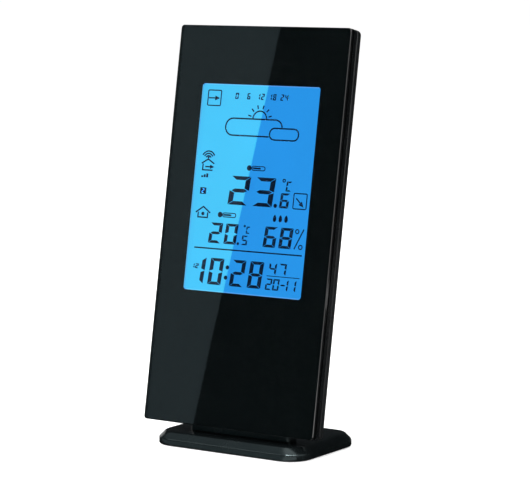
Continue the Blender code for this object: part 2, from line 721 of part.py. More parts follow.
def make_sounder(frame, material):
    """The alarm's buzzer behind the sound holes, with its port."""
    profile = [(depth, BUZZER_RADIUS) for depth in (PARTS_FRONT, PARTS_FRONT + BUZZER_HEIGHT)]
    buzzer = turned("piezo_buzzer", profile, *SOUND_PLACE)
    port = [(depth, BUZZER_PORT) for depth in (PARTS_FRONT + BUZZER_HEIGHT / 2, BACK)]
    cut(buzzer, turned("port", port, *SOUND_PLACE, SMALL_CIRCLE_STEPS))
    place(buzzer, material, frame)


def make_sensors(frame, materials):
    """The humidity sensor behind the air slots and the bead that feels the room's warmth."""
    x, middle = SLOT_PLACE
    profile = [(depth, 0.0) for depth in (PARTS_FRONT, PARTS_FRONT + SENSOR_HEIGHT)]
    sensor = plate("humidity_sensor", SENSOR_SIZE, SENSOR_CORNER, profile, x, middle)
    ports = []
    for step in (-1, 0, 1):
        height = middle + step * SENSOR_PORT_PITCH
        xs = (x - SENSOR_PORT[0] / 2, x + SENSOR_PORT[0] / 2)
        heights = (height - SENSOR_PORT[1] / 2, height + SENSOR_PORT[1] / 2)
        ports.append(box("port", xs, (PARTS_FRONT + SENSOR_HEIGHT / 2, BACK), heights))
    place(cut(sensor, *ports), materials["white"], frame)
    shoulder = PARTS_FRONT + BEAD_LEG_LENGTH
    bead = (
        (PARTS_FRONT, BEAD_LEG),
        (shoulder, BEAD_LEG),
        (shoulder + BEAD_RADIUS / 2, BEAD_RADIUS),
        (shoulder + BEAD_RADIUS, BEAD_RADIUS),
        (shoulder + 1.5 * BEAD_RADIUS, BEAD_LEG),
    )
    place(turned("thermistor", bead, *BEAD_PLACE, SMALL_CIRCLE_STEPS), materials["epoxy"], frame)


def make_radio(frame, material):
    """The receiver's small board with its shield."""
    radio = box("radio_module", RADIO_XS, (PARTS_FRONT, PARTS_FRONT + RADIO_BOARD), RADIO_HEIGHTS)
    xs = (RADIO_XS[0] + SHIELD_INSET, RADIO_XS[1] - SHIELD_INSET)
    heights = (RADIO_HEIGHTS[0] + SHIELD_INSET, sum(RADIO_HEIGHTS) / 2)
    add(radio, box("shield", xs, (PARTS_FRONT + RADIO_BOARD / 2, PARTS_FRONT + SHIELD_HEIGHT), heights))
    place(radio, material, frame)


def make_aerial(frame, material):
    """The receiver's wound aerial, standing beside it on the board."""
    per_turn = 10
    middle = PARTS_FRONT + AERIAL_RADIUS + 2 * AERIAL_WIRE
    points = []
    for step in range(AERIAL_TURNS * per_turn + 1):
        angle = 2 * math.pi * step / per_turn
        height = AERIAL_PLACE[1] + AERIAL_PITCH * step / per_turn
        x = AERIAL_PLACE[0] + AERIAL_RADIUS * math.cos(angle)
        points.append((x, middle + AERIAL_RADIUS * math.sin(angle), height))
    place(tube("radio_aerial", points, AERIAL_WIRE, WIRE_STEPS), material, frame)


def make_switches(frame, materials):
    """A tact switch on the board behind each key and behind the reset pinhole, with its sprung stem."""
    spots = [(name, x, height) for name, x, height, _, _ in KEYS] + [("reset", *RESET_PLACE)]
    half = SWITCH_SIDE / 2
    for name, x, height in spots:
        heights = (height - half, height + half)
        body = box(f"{name}_switch", (x - half, x + half), (PARTS_FRONT, SWITCH_BACK), heights)
        bore = STEM_RADIUS + GAP
        cut(body, turned("bore", [(STEM_BORE_FLOOR, bore), (BACK, bore)], x, height, SMALL_CIRCLE_STEPS))
        place(body, materials["case"], frame)
        profile = [(depth, STEM_RADIUS) for depth in STEM_DEPTHS]
        stem = turned(f"{name}_stem", profile, x, height, SMALL_CIRCLE_STEPS)
        place(stem, materials["stem"], frame, (x, STEM_DEPTHS[1], height))


def make_keys(frame, material):
    """The key caps, each with a flange that keeps it behind the cover's wall."""
    flange_front = STEM_DEPTHS[1] + GAP
    flange_back = BACK_INSIDE - GAP
    for name, x, height, across, along in KEYS:
        profile = (
            (flange_front, -KEY_FLANGE),
            (flange_back, -KEY_FLANGE),
            (flange_back, 0.0),
            (BACK + KEY_PROUD / 2, 0.0),
            (BACK + 0.85 * KEY_PROUD, KEY_PROUD / 4),
            (BACK + KEY_PROUD, 0.75 * KEY_PROUD),
        )
        cap = plate(f"{name}_key", (across, along), along * KEY_CORNER, profile, x, height, KEY_STEPS)
        place(cap, material, frame, (x, BACK, height))


def make_screws(frame, material):
    """Four screws down the wells in the cover, into the posts of the front case."""
    crown = (HEAD_DEPTHS[0] + 0.6 * (HEAD_DEPTHS[1] - HEAD_DEPTHS[0]), HEAD_RADIUS)
    profile = (
        (SHANK_FRONT, SHANK_RADIUS / 2),
        (SHANK_FRONT + SHANK_RADIUS, SHANK_RADIUS),
        (HEAD_DEPTHS[0], SHANK_RADIUS),
        (HEAD_DEPTHS[0], HEAD_RADIUS),
        crown,
        (HEAD_DEPTHS[1], HEAD_RADIUS / 2),
    )
    for number, spot in enumerate(SCREW_PLACES, 1):
        place(turned(f"case_screw_{number}", profile, *spot, SMALL_CIRCLE_STEPS), material, frame)


def make_cells(frame, material):
    """Two small round cells, lying head to tail across the bay."""
    for name, height, side in (("lower", CELL_HEIGHTS[0], 1), ("upper", CELL_HEIGHTS[1], -1)):
        start = CELL_SHIFT - CELL_LENGTH / 2
        end = CELL_SHIFT + CELL_LENGTH / 2
        edge = CELL_RADIUS / 10
        profile = (
            (start, CELL_RADIUS - edge),
            (start + edge, CELL_RADIUS),
            (end - edge, CELL_RADIUS),
            (end, CELL_RADIUS - edge),
            (end, NUB_RADIUS),
            (end + NUB_LENGTH, NUB_RADIUS),
        )
        rings = [sideways(circle(radius), side * x, CELL_DEPTH, height) for x, radius in profile]
        place(solid(f"battery_{name}", rings), material, frame)


def contact_plate(name, side, heights, dimple_height=None, tail=None):
    """A flat contact at one end of the bay, with a dimple or a tail through the bay's wall."""
    xs = sorted((side * CONTACT_X[0], side * CONTACT_X[1]))
    contact = box(name, xs, CONTACT_DEPTHS, heights)
    if dimple_height is not None:
        steps = ((CONTACT_X[0] + FILM, 2 * NUB_RADIUS / 3), (CONTACT_X[0] - DIMPLE, NUB_RADIUS / 2))
        rings = []
        for x, radius in steps:
            outline = circle(radius, SMALL_CIRCLE_STEPS)
            rings.append(sideways(outline, side * x, CELL_DEPTH, dimple_height))
        add(contact, solid("dimple", rings))
    if tail is not None:
        height, depth = tail
        tail_xs = sorted((side * (CONTACT_X[0] + FILM), side * TAIL_X))
        depths = (depth - TAIL_HALF, depth + TAIL_HALF)
        add(contact, box("tail", tail_xs, depths, (height - 3 * TAIL_HALF, height + 3 * TAIL_HALF)))
    return contact


def contact_spring(name, side, height):
    """A conical spring between a contact and the flat end of a cell."""
    start = CONTACT_X[0] - GAP - SPRING_WIRE
    end = CELL_LENGTH / 2 - CELL_SHIFT + GAP + SPRING_WIRE
    per_turn = 12
    count = int(SPRING_TURNS * per_turn)
    points = []
    for step in range(count + 1):
        share = step / count
        radius = SPRING_RADII[0] + (SPRING_RADII[1] - SPRING_RADII[0]) * share
        angle = 2 * math.pi * step / per_turn
        x = side * (start + (end - start) * share)
        points.append((x, CELL_DEPTH + radius * math.cos(angle), height + radius * math.sin(angle)))
    return tube(name, points, SPRING_WIRE, WIRE_STEPS)


def make_contacts(frame, material):
    """The bay's contacts: a spring and a dimple on the left, and a bridge between the cells opposite."""
    low, high = CELL_HEIGHTS
    low_span = (low - CONTACT_HALF, low + CONTACT_HALF)
    high_span = (high - CONTACT_HALF, high + CONTACT_HALF)
    bridge_span = (low - CONTACT_HALF, high + CONTACT_HALF)
    pieces = (
        contact_plate("negative_contact", -1, low_span, tail=(low, TAIL_DEPTHS[0])),
        contact_plate("positive_contact", -1, high_span, high, (high, TAIL_DEPTHS[1])),
        contact_plate("bridge_contact", 1, bridge_span, low),
        contact_spring("negative_spring", -1, low),
        contact_spring("bridge_spring", 1, high),
    )
    for piece in pieces:
        place(piece, material, frame)


def make_leads(frame, materials):
    """The two leads from the contacts' tails up to the circuit board."""
    reach = BOARD_HEIGHTS[0]
    landing = PARTS_FRONT + LEAD_RADIUS
    routes = (
        ("negative_lead", CELL_HEIGHTS[0], TAIL_DEPTHS[0], LEAD_ENDS[0], materials["black_wire"]),
        ("positive_lead", CELL_HEIGHTS[1], TAIL_DEPTHS[1], LEAD_ENDS[1], materials["red_wire"]),
    )
    for name, height, depth, end_x, material in routes:
        start_height = height - 2 * TAIL_HALF
        corners = (
            (-LEAD_X, depth, start_height),
            (-LEAD_X, depth, reach - LEAD_RADIUS),
            (-(LEAD_X + end_x) / 2, landing + 2 * LEAD_RADIUS, reach + 2 * LEAD_RADIUS),
            (-end_x, landing, reach + 5 * LEAD_RADIUS),
        )
        place(tube(name, smooth_path(corners), LEAD_RADIUS, WIRE_STEPS), material, frame)


def make_door(frame, material):
    """The battery door: a flush plate with a pinned barrel below, a sprung tab above and a ribbed grip."""
    size = (2 * DOOR_HALF, DOOR_HEIGHTS[1] - DOOR_HEIGHTS[0])
    middle = sum(DOOR_HEIGHTS) / 2
    door = plate("battery_door", size, DOOR_CORNER, [(DOOR_FRONT, 0.0), (BACK, 0.0)], height=middle)
    cut(door, box("below", (-WIDTH, WIDTH), (0.0, 2 * BACK), (0.0, HINGE_HEIGHT)))
    additions = [hinge_rod("barrel", BARREL_RADIUS, DOOR_HALF, CIRCLE_STEPS)]
    additions.append(hinge_rod("pins", PIN_RADIUS, PIN_END))
    for number in range(GRIP_COUNT):
        height = DOOR_HEIGHTS[1] - GRIP_PITCH * (number + 1.5)
        heights = (height - GRIP_PITCH / 4, height + GRIP_PITCH / 4)
        xs = (WALL - TAB_HALF, TAB_HALF - WALL)
        additions.append(box("grip", xs, (BACK - GAP, BACK + GRIP_PROUD), heights))
    add(door, *additions)
    slots = []
    for side in (-1, 1):
        xs = sorted((side * TAB_HALF, side * (TAB_HALF + TAB_SLOT)))
        slots.append(box("slot", xs, (DOOR_FRONT - WALL, 2 * BACK), (TAB_LOW, HEIGHT)))
    cut(door, *slots)
    place(door, material, frame, (0.0, HINGE_DEPTH, HINGE_HEIGHT))


def make_materials():
    return {
        "panel": make_material("panel_clear", (0.90, 0.92, 0.93), 0.03),
        "mask": make_material("mask_black", (0.004, 0.005, 0.005), 0.30),
        "case": make_material("case_black", (0.012, 0.012, 0.013), 0.35),
        "foot": make_material("foot_black", (0.012, 0.012, 0.013), 0.40),
        "rubber": make_material("rubber_black", (0.015, 0.015, 0.015), 0.85),
        "key": make_material("key_black", (0.020, 0.020, 0.021), 0.50),
        "display": make_material("display_blue", (0.020, 0.305, 0.855), 0.25),
        "glass": make_material("display_glass", (0.55, 0.62, 0.60), 0.05),
        "film": make_material("transflector_silver", (0.60, 0.62, 0.62), 0.30, 0.8),
        "acrylic": make_material("light_guide_acrylic", (0.75, 0.85, 0.90), 0.10),
        "white": make_material("white_plastic", (0.80, 0.80, 0.78), 0.45),
        "board": make_material("board_green", (0.010, 0.110, 0.035), 0.40),
        "epoxy": make_material("epoxy_black", (0.010, 0.010, 0.010), 0.20),
        "metal": make_material("nickel_plate", (0.62, 0.61, 0.58), 0.28, 1.0),
        "copper": make_material("aerial_copper", (0.60, 0.25, 0.12), 0.30, 1.0),
        "screw": make_material("screw_zinc", (0.50, 0.50, 0.50), 0.35, 1.0),
        "stem": make_material("stem_plastic", (0.35, 0.33, 0.30), 0.45),
        "cell": make_material("cell_jacket", (0.18, 0.20, 0.22), 0.35),
        "black_wire": make_material("wire_black", (0.012, 0.012, 0.012), 0.50),
        "red_wire": make_material("wire_red", (0.450, 0.020, 0.015), 0.50),
    }


def main():
    clear_scene()
    materials = make_materials()
    make_foot(materials["foot"])
    make_pads(materials["rubber"])
    frame = leaning_frame()
    make_panel(frame, materials)
    make_front_case(frame, materials["case"])
    make_rear_cover(frame, materials["case"])
    make_display(frame, materials)
    make_backlight(frame, materials)
    make_holder(frame, materials["white"])
    make_board(frame, materials)
    make_sounder(frame, materials["case"])
    make_sensors(frame, materials)
    make_radio(frame, materials["board"])
    make_aerial(frame, materials["copper"])
    make_switches(frame, materials)
    make_keys(frame, materials["key"])
    make_screws(frame, materials["screw"])
    make_cells(frame, materials["cell"])
    make_contacts(frame, materials["metal"])
    make_leads(frame, materials)
    make_door(frame, materials["case"])


main()
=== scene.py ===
"""Looks for a leaning home weather station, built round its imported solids."""

import json
import math
from typing import NamedTuple

import bmesh
import bpy
import numpy as np
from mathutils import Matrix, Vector

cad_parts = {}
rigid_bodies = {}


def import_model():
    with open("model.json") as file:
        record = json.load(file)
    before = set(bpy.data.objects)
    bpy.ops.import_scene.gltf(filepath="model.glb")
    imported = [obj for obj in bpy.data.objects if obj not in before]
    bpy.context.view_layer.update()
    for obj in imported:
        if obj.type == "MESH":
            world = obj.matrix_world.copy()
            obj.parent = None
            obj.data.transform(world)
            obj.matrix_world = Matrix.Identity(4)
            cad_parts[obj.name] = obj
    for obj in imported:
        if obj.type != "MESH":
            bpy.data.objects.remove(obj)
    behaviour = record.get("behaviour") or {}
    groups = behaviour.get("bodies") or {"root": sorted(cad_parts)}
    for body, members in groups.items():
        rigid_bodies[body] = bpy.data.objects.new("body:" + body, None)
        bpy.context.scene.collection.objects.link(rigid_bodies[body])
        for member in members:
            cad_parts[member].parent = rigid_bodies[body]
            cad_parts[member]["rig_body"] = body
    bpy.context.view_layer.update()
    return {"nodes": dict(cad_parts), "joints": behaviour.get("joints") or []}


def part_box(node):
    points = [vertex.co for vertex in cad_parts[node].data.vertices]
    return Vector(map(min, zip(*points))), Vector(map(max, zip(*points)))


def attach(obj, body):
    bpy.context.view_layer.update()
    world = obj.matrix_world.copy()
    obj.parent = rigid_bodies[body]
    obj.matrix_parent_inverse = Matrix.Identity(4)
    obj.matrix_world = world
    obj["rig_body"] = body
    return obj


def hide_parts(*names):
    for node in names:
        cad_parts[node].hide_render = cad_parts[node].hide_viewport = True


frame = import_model()

bl_info = {
    "name": "Weather Station Looks",
    "version": (1, 0, 0),
    "blender": (4, 5, 0),
    "location": "3D View > Sidebar > Station",
    "description": "Finishes, display marks and stage for a home weather station",
    "category": "Object",
}

NODES = frame["nodes"]
SLOTS = {name: node.data.materials[0].name for name, node in NODES.items()}

ACROSS = np.array((1.0, 0.0, 0.0))
MM = 0.001

# Where the marks lie behind the front face: on the display, on its dark boxes, and on the keys.
MARK_DEPTHS = (0.00221, 0.00226)
BRIGHT_MARK_DEPTHS = (0.00216, 0.00219)
KEY_MARK_DEPTHS = (0.01888, 0.01894)

# The printed mask touches the panel before it and the case behind it.
MASK_DEPTHS = (0.00152, 0.00228)

# Heights at which the foot's slopes begin and end.
FOOT_SLOPE = (0.0030, 0.0056)

# Edges that turn by more than this stay sharp: on the case, on screws, on most pieces, and on round parts inside.
CRISP, SCREW_EDGE, PLAIN, SOFT = (math.radians(turn) for turn in (28, 35, 38, 50))

# Faces of a solid that turn by less than this are one flat face, and points closer than this are one point.
FLAT = math.radians(0.4)
TOUCHING = 1e-6

# Screws: heights in metres, and the rest in shares of the head's radius.
HEAD_HEIGHT, HEAD_DOME = 0.0014, 0.00056
SHANK, TIP = 0.41, 0.2
CROSS_HALF, CROSS_SLOPE = 0.17, 0.05
CROSS_REACH, CROSS_END = 0.66, 0.16
CROWN_RINGS, SCREW_SIDES = 22, 64

# Stage: heights of cards that lie on the floor, the radius of the far screens, and of the walls behind.
ON_FLOOR, OVER_FLOOR = 0.0001, 0.0002
SCREEN_RADIUS = 2.6
WALL_RADIUS = 0.42
FLOOR_HALF = 30.0

# The pale card is seen in the panel left of a line from foot to head: sideways and up the panel, in millimetres.
GLEAM_FOOT, GLEAM_HEAD = (-16.14, 0.16), (7.40, 159.6)
GLEAM_SIDE = -75.0
GLEAM_SPAN = (-1.0, 220.0)
GLEAM_AWAY = 2.0


def joint_axis(name):
    """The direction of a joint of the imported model."""
    return np.array(next(joint["axis"] for joint in frame["joints"] if joint["name"] == name), float)


def node_points(name):
    """The vertices of a solid as an array of rows."""
    vertices = NODES[name].data.vertices
    points = np.empty(3 * len(vertices))
    vertices.foreach_get("co", points)
    return points.reshape(-1, 3)


UP = joint_axis("console_lift")
OUT = joint_axis("mode_press")
PANEL_POINTS = node_points("front_panel")
ORIGIN = UP * (PANEL_POINTS @ UP).min() + OUT * (PANEL_POINTS @ OUT).max()


def on_slab(x, height, depth):
    """Points of the leaning console: sideways, up its front from the lower edge, and behind its front face."""
    x, height, depth = (np.asarray(part, float)[..., None] for part in (x, height, depth))
    return ORIGIN + x * ACROSS + height * UP - depth * OUT


# Node trees


class Tree:
    """A material's node tree, with short ways to add the nodes that the finishes share."""

    def __init__(self, owner):
        self.material = bpy.data.materials.new(owner) if isinstance(owner, str) else owner
        self.material.use_nodes = True
        self.nodes = self.material.node_tree.nodes
        self.links = self.material.node_tree.links
        self.shader = self.nodes.get("Principled BSDF")

    def fill(self, node, values):
        """Sets a node's sockets; a name's underscores stand for spaces."""
        for name, value in values.items():
            node.inputs[name.replace("_", " ")].default_value = value
        return node

    def set(self, **values):
        self.fill(self.shader, values)

    def add(self, kind, **values):
        return self.fill(self.nodes.new(f"ShaderNode{kind}"), values)

    def feed(self, socket, name):
        self.links.new(socket, self.shader.inputs[name])

    def place(self, stretch=None):
        """Object coordinates, stretched along the axes where asked."""
        socket = self.add("TexCoord").outputs["Object"]
        if stretch is None:
            return socket
        mapping = self.add("Mapping", Scale=stretch)
        self.links.new(socket, mapping.inputs["Vector"])
        return mapping.outputs["Vector"]

    def noise(self, scale, detail=2.0, stretch=None):
        """Cloudy noise with so many features to a metre."""
        node = self.add("TexNoise", Scale=scale, Detail=detail)
        self.links.new(self.place(stretch), node.inputs["Vector"])
        return node.outputs["Fac"]

    def spread(self, socket, low, high, start=0.3, end=0.7):
        """A value carried from one span to another."""
        node = self.add("MapRange", From_Min=start, From_Max=end, To_Min=low, To_Max=high)
        self.links.new(socket, node.inputs["Value"])
        return node.outputs["Result"]

    def blend(self, socket, low, high, start=0.3, end=0.7):
        """A colour between two colours, by a value."""
        node = self.add("ValToRGB")
        for stop, position, colour in zip(node.color_ramp.elements, (start, end), (low, high)):
            stop.position, stop.color = position, (*colour, 1.0)
        self.links.new(socket, node.inputs["Fac"])
        return node.outputs["Color"]

    def mix(self, share, first, second):
        """A colour socket turned into another colour, by a share."""
        node = self.add("MixRGB", Color2=(*second, 1.0))
        self.links.new(share, node.inputs["Fac"])
        self.links.new(first, node.inputs["Color1"])
        return node.outputs["Color"]

    def math(self, operation, first, second):
        """An operation on two sockets or numbers."""
        node = self.add("Math")
        node.operation = operation
        for socket, value in zip(node.inputs, (first, second)):
            if isinstance(value, (int, float)):
                socket.default_value = value
            else:
                self.links.new(value, socket)
        return node.outputs["Value"]

    def along(self, direction):
        """How far a point lies along a direction."""
        node = self.add("VectorMath")
        node.operation = "DOT_PRODUCT"
        node.inputs[1].default_value = direction
        self.links.new(self.place(), node.inputs[0])
        return node.outputs["Value"]

    def raise_grain(self, socket, height):
        """Bump of that height, in metres."""
        node = self.add("Bump", Distance=height)
        self.links.new(socket, node.inputs["Height"])
        self.feed(node.outputs["Normal"], "Normal")


def tinted(colour, share):
    return tuple(min(1.0, part * share) for part in colour)


# Finishes


def moulded(name, colour, roughness, grain=5200.0, relief=0.000012, specular=0.3, tint=(1.0, 1.0, 1.0)):
    """Moulded plastic: fine spark-eroded grain, faint flow marks in the colour and handling marks in the gloss."""
    tree = Tree(name)
    flow = tree.noise(55.0, 4.0)
    tree.feed(tree.blend(flow, tinted(colour, 0.86), tinted(colour, 1.14)), "Base Color")
    tree.feed(tree.spread(tree.noise(140.0, 5.0), roughness - 0.05, roughness + 0.06), "Roughness")
    tree.set(Specular_IOR_Level=specular, Specular_Tint=(*tint, 1.0))
    tree.raise_grain(tree.noise(grain, 3.0), relief)
    return tree.material


def plated(name, colour, roughness, stretch=(1.0, 1.0, 1.0), grain=2600.0):
    """Plated or drawn metal: fine drawing lines along one axis and a slight tarnish."""
    tree = Tree(name)
    tree.feed(tree.blend(tree.noise(300.0, 4.0), tinted(colour, 0.8), colour), "Base Color")
    lines = tree.noise(grain, 3.0, stretch)
    tree.feed(tree.spread(lines, roughness - 0.06, roughness + 0.1), "Roughness")
    tree.set(Metallic=1.0)
    tree.raise_grain(lines, 0.000006)
    return tree.material


def clear_sheet(name, colour, roughness=0.0, index=1.49):
    """A clear sheet with faint smears in its tint."""
    tree = Tree(name)
    tree.feed(tree.blend(tree.noise(90.0, 4.0), tinted(colour, 0.985), colour), "Base Color")
    tree.set(Transmission_Weight=1.0, Roughness=roughness, IOR=index)
    return tree.material


def rubbery(name, colour):
    """Soft rubber with a pale bloom and coarse grain."""
    tree = Tree(name)
    bloom = tree.noise(700.0, 5.0)
    tree.feed(tree.blend(bloom, colour, tinted(colour, 1.8), 0.45, 0.8), "Base Color")
    tree.feed(tree.spread(bloom, 0.72, 0.92), "Roughness")
    tree.set(Specular_IOR_Level=0.3)
    tree.raise_grain(tree.noise(3000.0, 4.0), 0.00003)
    return tree.material


def printed_mask(name, colour):
    """Black ink on the back of a clear sheet, slightly uneven."""
    tree = Tree(name)
    tree.feed(tree.blend(tree.noise(2400.0, 3.0), tinted(colour, 0.8), tinted(colour, 1.25)), "Base Color")
    tree.feed(tree.spread(tree.noise(500.0, 3.0), 0.35, 0.5), "Roughness")
    tree.set(Specular_IOR_Level=0.0)
    return tree.material


def circuit_board(name, colour):
    """Solder mask over copper: staggered tracks, raised and bright, with dark fields between."""
    tree = Tree(name)
    fields = dict(Color1=(*colour, 1.0), Color2=(*tinted(colour, 0.7), 1.0))
    tracks = tree.add("TexBrick", Scale=260.0, Mortar=(*tinted(colour, 2.6), 1.0), Mortar_Size=0.06, **fields)
    turn = tree.add("Mapping", Rotation=(math.pi / 2, 0.0, 0.0))
    tree.links.new(tree.place(), turn.inputs["Vector"])
    tree.links.new(turn.outputs["Vector"], tracks.inputs["Vector"])
    tree.feed(tracks.outputs["Color"], "Base Color")
    tree.feed(tree.spread(tree.noise(900.0), 0.25, 0.45), "Roughness")
    tree.raise_grain(tracks.outputs["Fac"], 0.00002)
    return tree.material


def cell_sleeve(name, colour):
    """The sleeve of a cell: a dark body, pale bands past a distance from its middle, and a metal-like sheen."""
    tree = Tree(name)
    band_start, band = 0.0150, (0.62, 0.60, 0.55)
    side = tree.math("ABSOLUTE", tree.along(ACROSS), 0.0)
    banded = tree.math("GREATER_THAN", side, band_start)
    tree.feed(tree.blend(banded, colour, band, 0.4, 0.6), "Base Color")
    tree.feed(tree.spread(tree.noise(400.0, 3.0), 0.27, 0.32), "Roughness")
    tree.set(Metallic=0.6)
    tree.raise_grain(tree.noise(1500.0, 3.0, (1.0, 8.0, 8.0)), 0.000002)
    return tree.material


def lit_display(name, look):
    """The lit display: an even glow over a tinted film, with a painted highlight that makes it paler along its
    window's edges and most on the left.
    """
    tree = Tree(name)
    # Painted highlight: the glow is paler in a narrow band along the window's edges, and paler and greener still
    # in a band at its left edge.
    edge_highlight_width, left_highlight_span = 0.0005, (0.0002, 0.0007)
    glow, left_highlight_colour = tuple(look.glow), (0.10, 0.54, 0.94)
    pale = tuple(part + 0.09 for part in glow)
    low, high, half = look.window_low * MM, look.window_high * MM, look.window_half * MM
    height = tree.math("SUBTRACT", tree.along(UP), float(ORIGIN @ UP))
    side = tree.math("SUBTRACT", half, tree.math("ABSOLUTE", tree.along(ACROSS), 0.0))
    ends = tree.math("MINIMUM", tree.math("SUBTRACT", height, low), tree.math("SUBTRACT", high, height))
    edge = tree.math("MINIMUM", side, ends)
    rim = tree.blend(tree.spread(edge, 0.0, 1.0, 0.0, edge_highlight_width), pale, glow, 0.3, 1.0)
    from_left = tree.math("ADD", tree.along(ACROSS), half)
    left_highlight_share = tree.spread(from_left, 1.0, 0.0, *left_highlight_span)
    tree.feed(tree.mix(left_highlight_share, rim, left_highlight_colour), "Emission Color")
    tree.feed(tree.spread(tree.noise(28.0, 2.0), 0.96, 1.03), "Emission Strength")
    tree.feed(tree.blend(tree.noise(2500.0, 2.0), tinted(look.film, 0.97), tuple(look.film)), "Base Color")
    tree.set(Metallic=1.0, Roughness=0.0)
    return tree.material


def display_ink(name, colour):
    """The dark of a display's lit bars, with a trace of the glow showing through."""
    tree = Tree(name)
    tree.feed(tree.blend(tree.noise(1800.0, 3.0), tinted(colour, 0.7), tinted(colour, 1.3)), "Base Color")
    tree.feed(tree.spread(tree.noise(700.0), 0.4, 0.55), "Roughness")
    tree.set(Specular_IOR_Level=0.1, Emission_Color=(*colour, 1.0), Emission_Strength=1.0)
    return tree.material


def bright_bar(name, look):
    """An unlit bar in a dark box: the display's own glow."""
    tree = Tree(name)
    glow = tuple(look.glow)
    tree.feed(tree.blend(tree.noise(1800.0, 3.0), tinted(glow, 0.95), glow), "Emission Color")
    tree.set(Base_Color=(*glow, 1.0), Emission_Strength=1.1, Roughness=0.5)
    return tree.material


finishes = {}


def make_finishes(settings):
    """One material for each of the record's slots."""
    look = settings.finish
    case, foot, key = tuple(look.case_colour), tuple(look.foot_colour), tuple(look.key_colour)
    foot_finish = dict(roughness=0.22, grain=4200.0, relief=0.000005, specular=0.4, tint=(0.78, 0.98, 1.0))
    gloss = dict(roughness=0.18, grain=900.0, relief=0.00003, specular=0.5)
    matt = dict(roughness=0.45, specular=0.5)
    return {
        "foot_black": moulded("foot_satin", foot, **foot_finish),
        "rubber_black": rubbery("pad_rubber", (0.014, 0.014, 0.014)),
        "panel_clear": clear_sheet("panel_acrylic", (0.97, 0.98, 0.98), index=1.40),
        "mask_black": printed_mask("panel_ink", (0.0016, 0.0018, 0.0019)),
        "case_black": moulded("case_satin", case, 0.27, specular=0.14),
        "display_blue": lit_display("display_film", settings.display),
        "display_glass": clear_sheet("display_glass_clear", (0.92, 0.96, 0.95), index=1.52),
        "film_silver": plated("transflector_film", (0.72, 0.74, 0.74), 0.30),
        "light_guide_clear": clear_sheet("light_guide_acrylic", (0.90, 0.95, 1.0), 0.25),
        "white_plastic": moulded("white_moulding", (0.72, 0.72, 0.70), grain=3000.0, **matt),
        "board_green": circuit_board("board_mask", (0.010, 0.110, 0.035)),
        "epoxy_black": moulded("epoxy_gloss", (0.010, 0.010, 0.010), **gloss),
        "nickel_plate": plated("contact_nickel", (0.62, 0.61, 0.58), 0.26, (1.0, 6.0, 1.0)),
        "aerial_copper": plated("aerial_wire", (0.62, 0.26, 0.12), 0.28),
        "screw_zinc": plated("screw_plate", (0.46, 0.46, 0.45), 0.32, (1.0, 1.0, 3.0)),
        "stem_plastic": moulded("stem_moulding", (0.33, 0.31, 0.28), **matt),
        "key_black": rubbery("key_rubber", key),
        "cell_jacket": cell_sleeve("cell_print", (0.030, 0.060, 0.085)),
        "wire_black": moulded("black_sleeve", (0.012, 0.012, 0.012), **matt),
        "wire_red": moulded("red_sleeve", (0.450, 0.020, 0.015), **matt),
    }


# Meshes


def grid_faces(rows, columns, closed=False):
    """Quads between neighbouring rows of a grid: its columns close on themselves, and its rows where asked."""
    row = np.arange(rows if closed else rows - 1)[:, None]
    column = np.arange(columns)[None]
    after, beside = (row + 1) % rows, (column + 1) % columns
    corners = (row * columns + column, row * columns + beside, after * columns + beside, after * columns + column)
    return np.stack(np.broadcast_arrays(*corners), -1).reshape(-1, 4)


def new_piece(name, points, faces, material, body, slot):
    """A mesh object that rides on a body and wears the material given to it; the slot it is given is not used."""
    mesh = bpy.data.meshes.new(name)
    mesh.from_pydata(points, [], faces)
    mesh.materials.append(material)
    piece = bpy.data.objects.new(name, mesh)
    bpy.context.scene.collection.objects.link(piece)
    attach(piece, body)
    return piece


def smooth_shading(mesh, angle):
    mesh.shade_smooth()
    mesh.set_sharp_from_angle(angle=angle)


def ease_edges(piece, width):
    """Rounds a piece's crisp edges over that width."""
    easing = piece.modifiers.new("eased_edges", "BEVEL")
    easing.width = width
    easing.segments = 2
    easing.limit_method = "ANGLE"
    easing.angle_limit = CRISP
    easing.harden_normals = True


def laid_between(points):
    """The mask's two faces moved out to touch the panel before it and the case behind it."""
    depth = (ORIGIN - points) @ OUT
    return points + np.outer(depth - np.where(depth < depth.mean(), *MASK_DEPTHS), OUT)


def ribs_flush(points):
    """The foot with its ribs' upper corners drawn back to its long slopes, on which the distance from the middle
    and the height add up to one sum: what stands past that sum comes off both, half and half."""
    side, height = np.sign(points[:, 1]), points[:, 2]
    proud = side * points[:, 1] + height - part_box("stand_base")[1][1] - FOOT_SLOPE[0]
    proud = np.where(height < FOOT_SLOPE[1], proud, 0.0).clip(min=0.0) / 2
    return points - np.stack((0.0 * proud, side * proud, proud), 1)


def smooth_copy(name, angle=PLAIN, refit=None):
    """A solid's own shape, its points refitted where asked, with its triangles merged into whole faces and shaded
    smooth up to an angle."""
    mesh = NODES[name].data.copy()
    if refit:
        mesh.vertices.foreach_set("co", refit(node_points(name)).ravel())
    shape = bmesh.new()
    shape.from_mesh(mesh)
    bpy.data.meshes.remove(mesh)
    bmesh.ops.remove_doubles(shape, verts=shape.verts, dist=TOUCHING)
    if refit:
        bmesh.ops.dissolve_degenerate(shape, edges=shape.edges, dist=TOUCHING)
    bmesh.ops.dissolve_limit(shape, angle_limit=FLAT, verts=shape.verts, edges=shape.edges)
    shape.verts.index_update()
    points = np.array([vertex.co for vertex in shape.verts])
    faces = [[vertex.index for vertex in face.verts] for face in shape.faces]
    shape.free()
    slot = SLOTS[name]
    piece = new_piece(f"{name}_smooth", points, faces, finishes[slot], NODES[name]["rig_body"], slot)
    smooth_shading(piece.data, angle)
    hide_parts(name)
    return piece


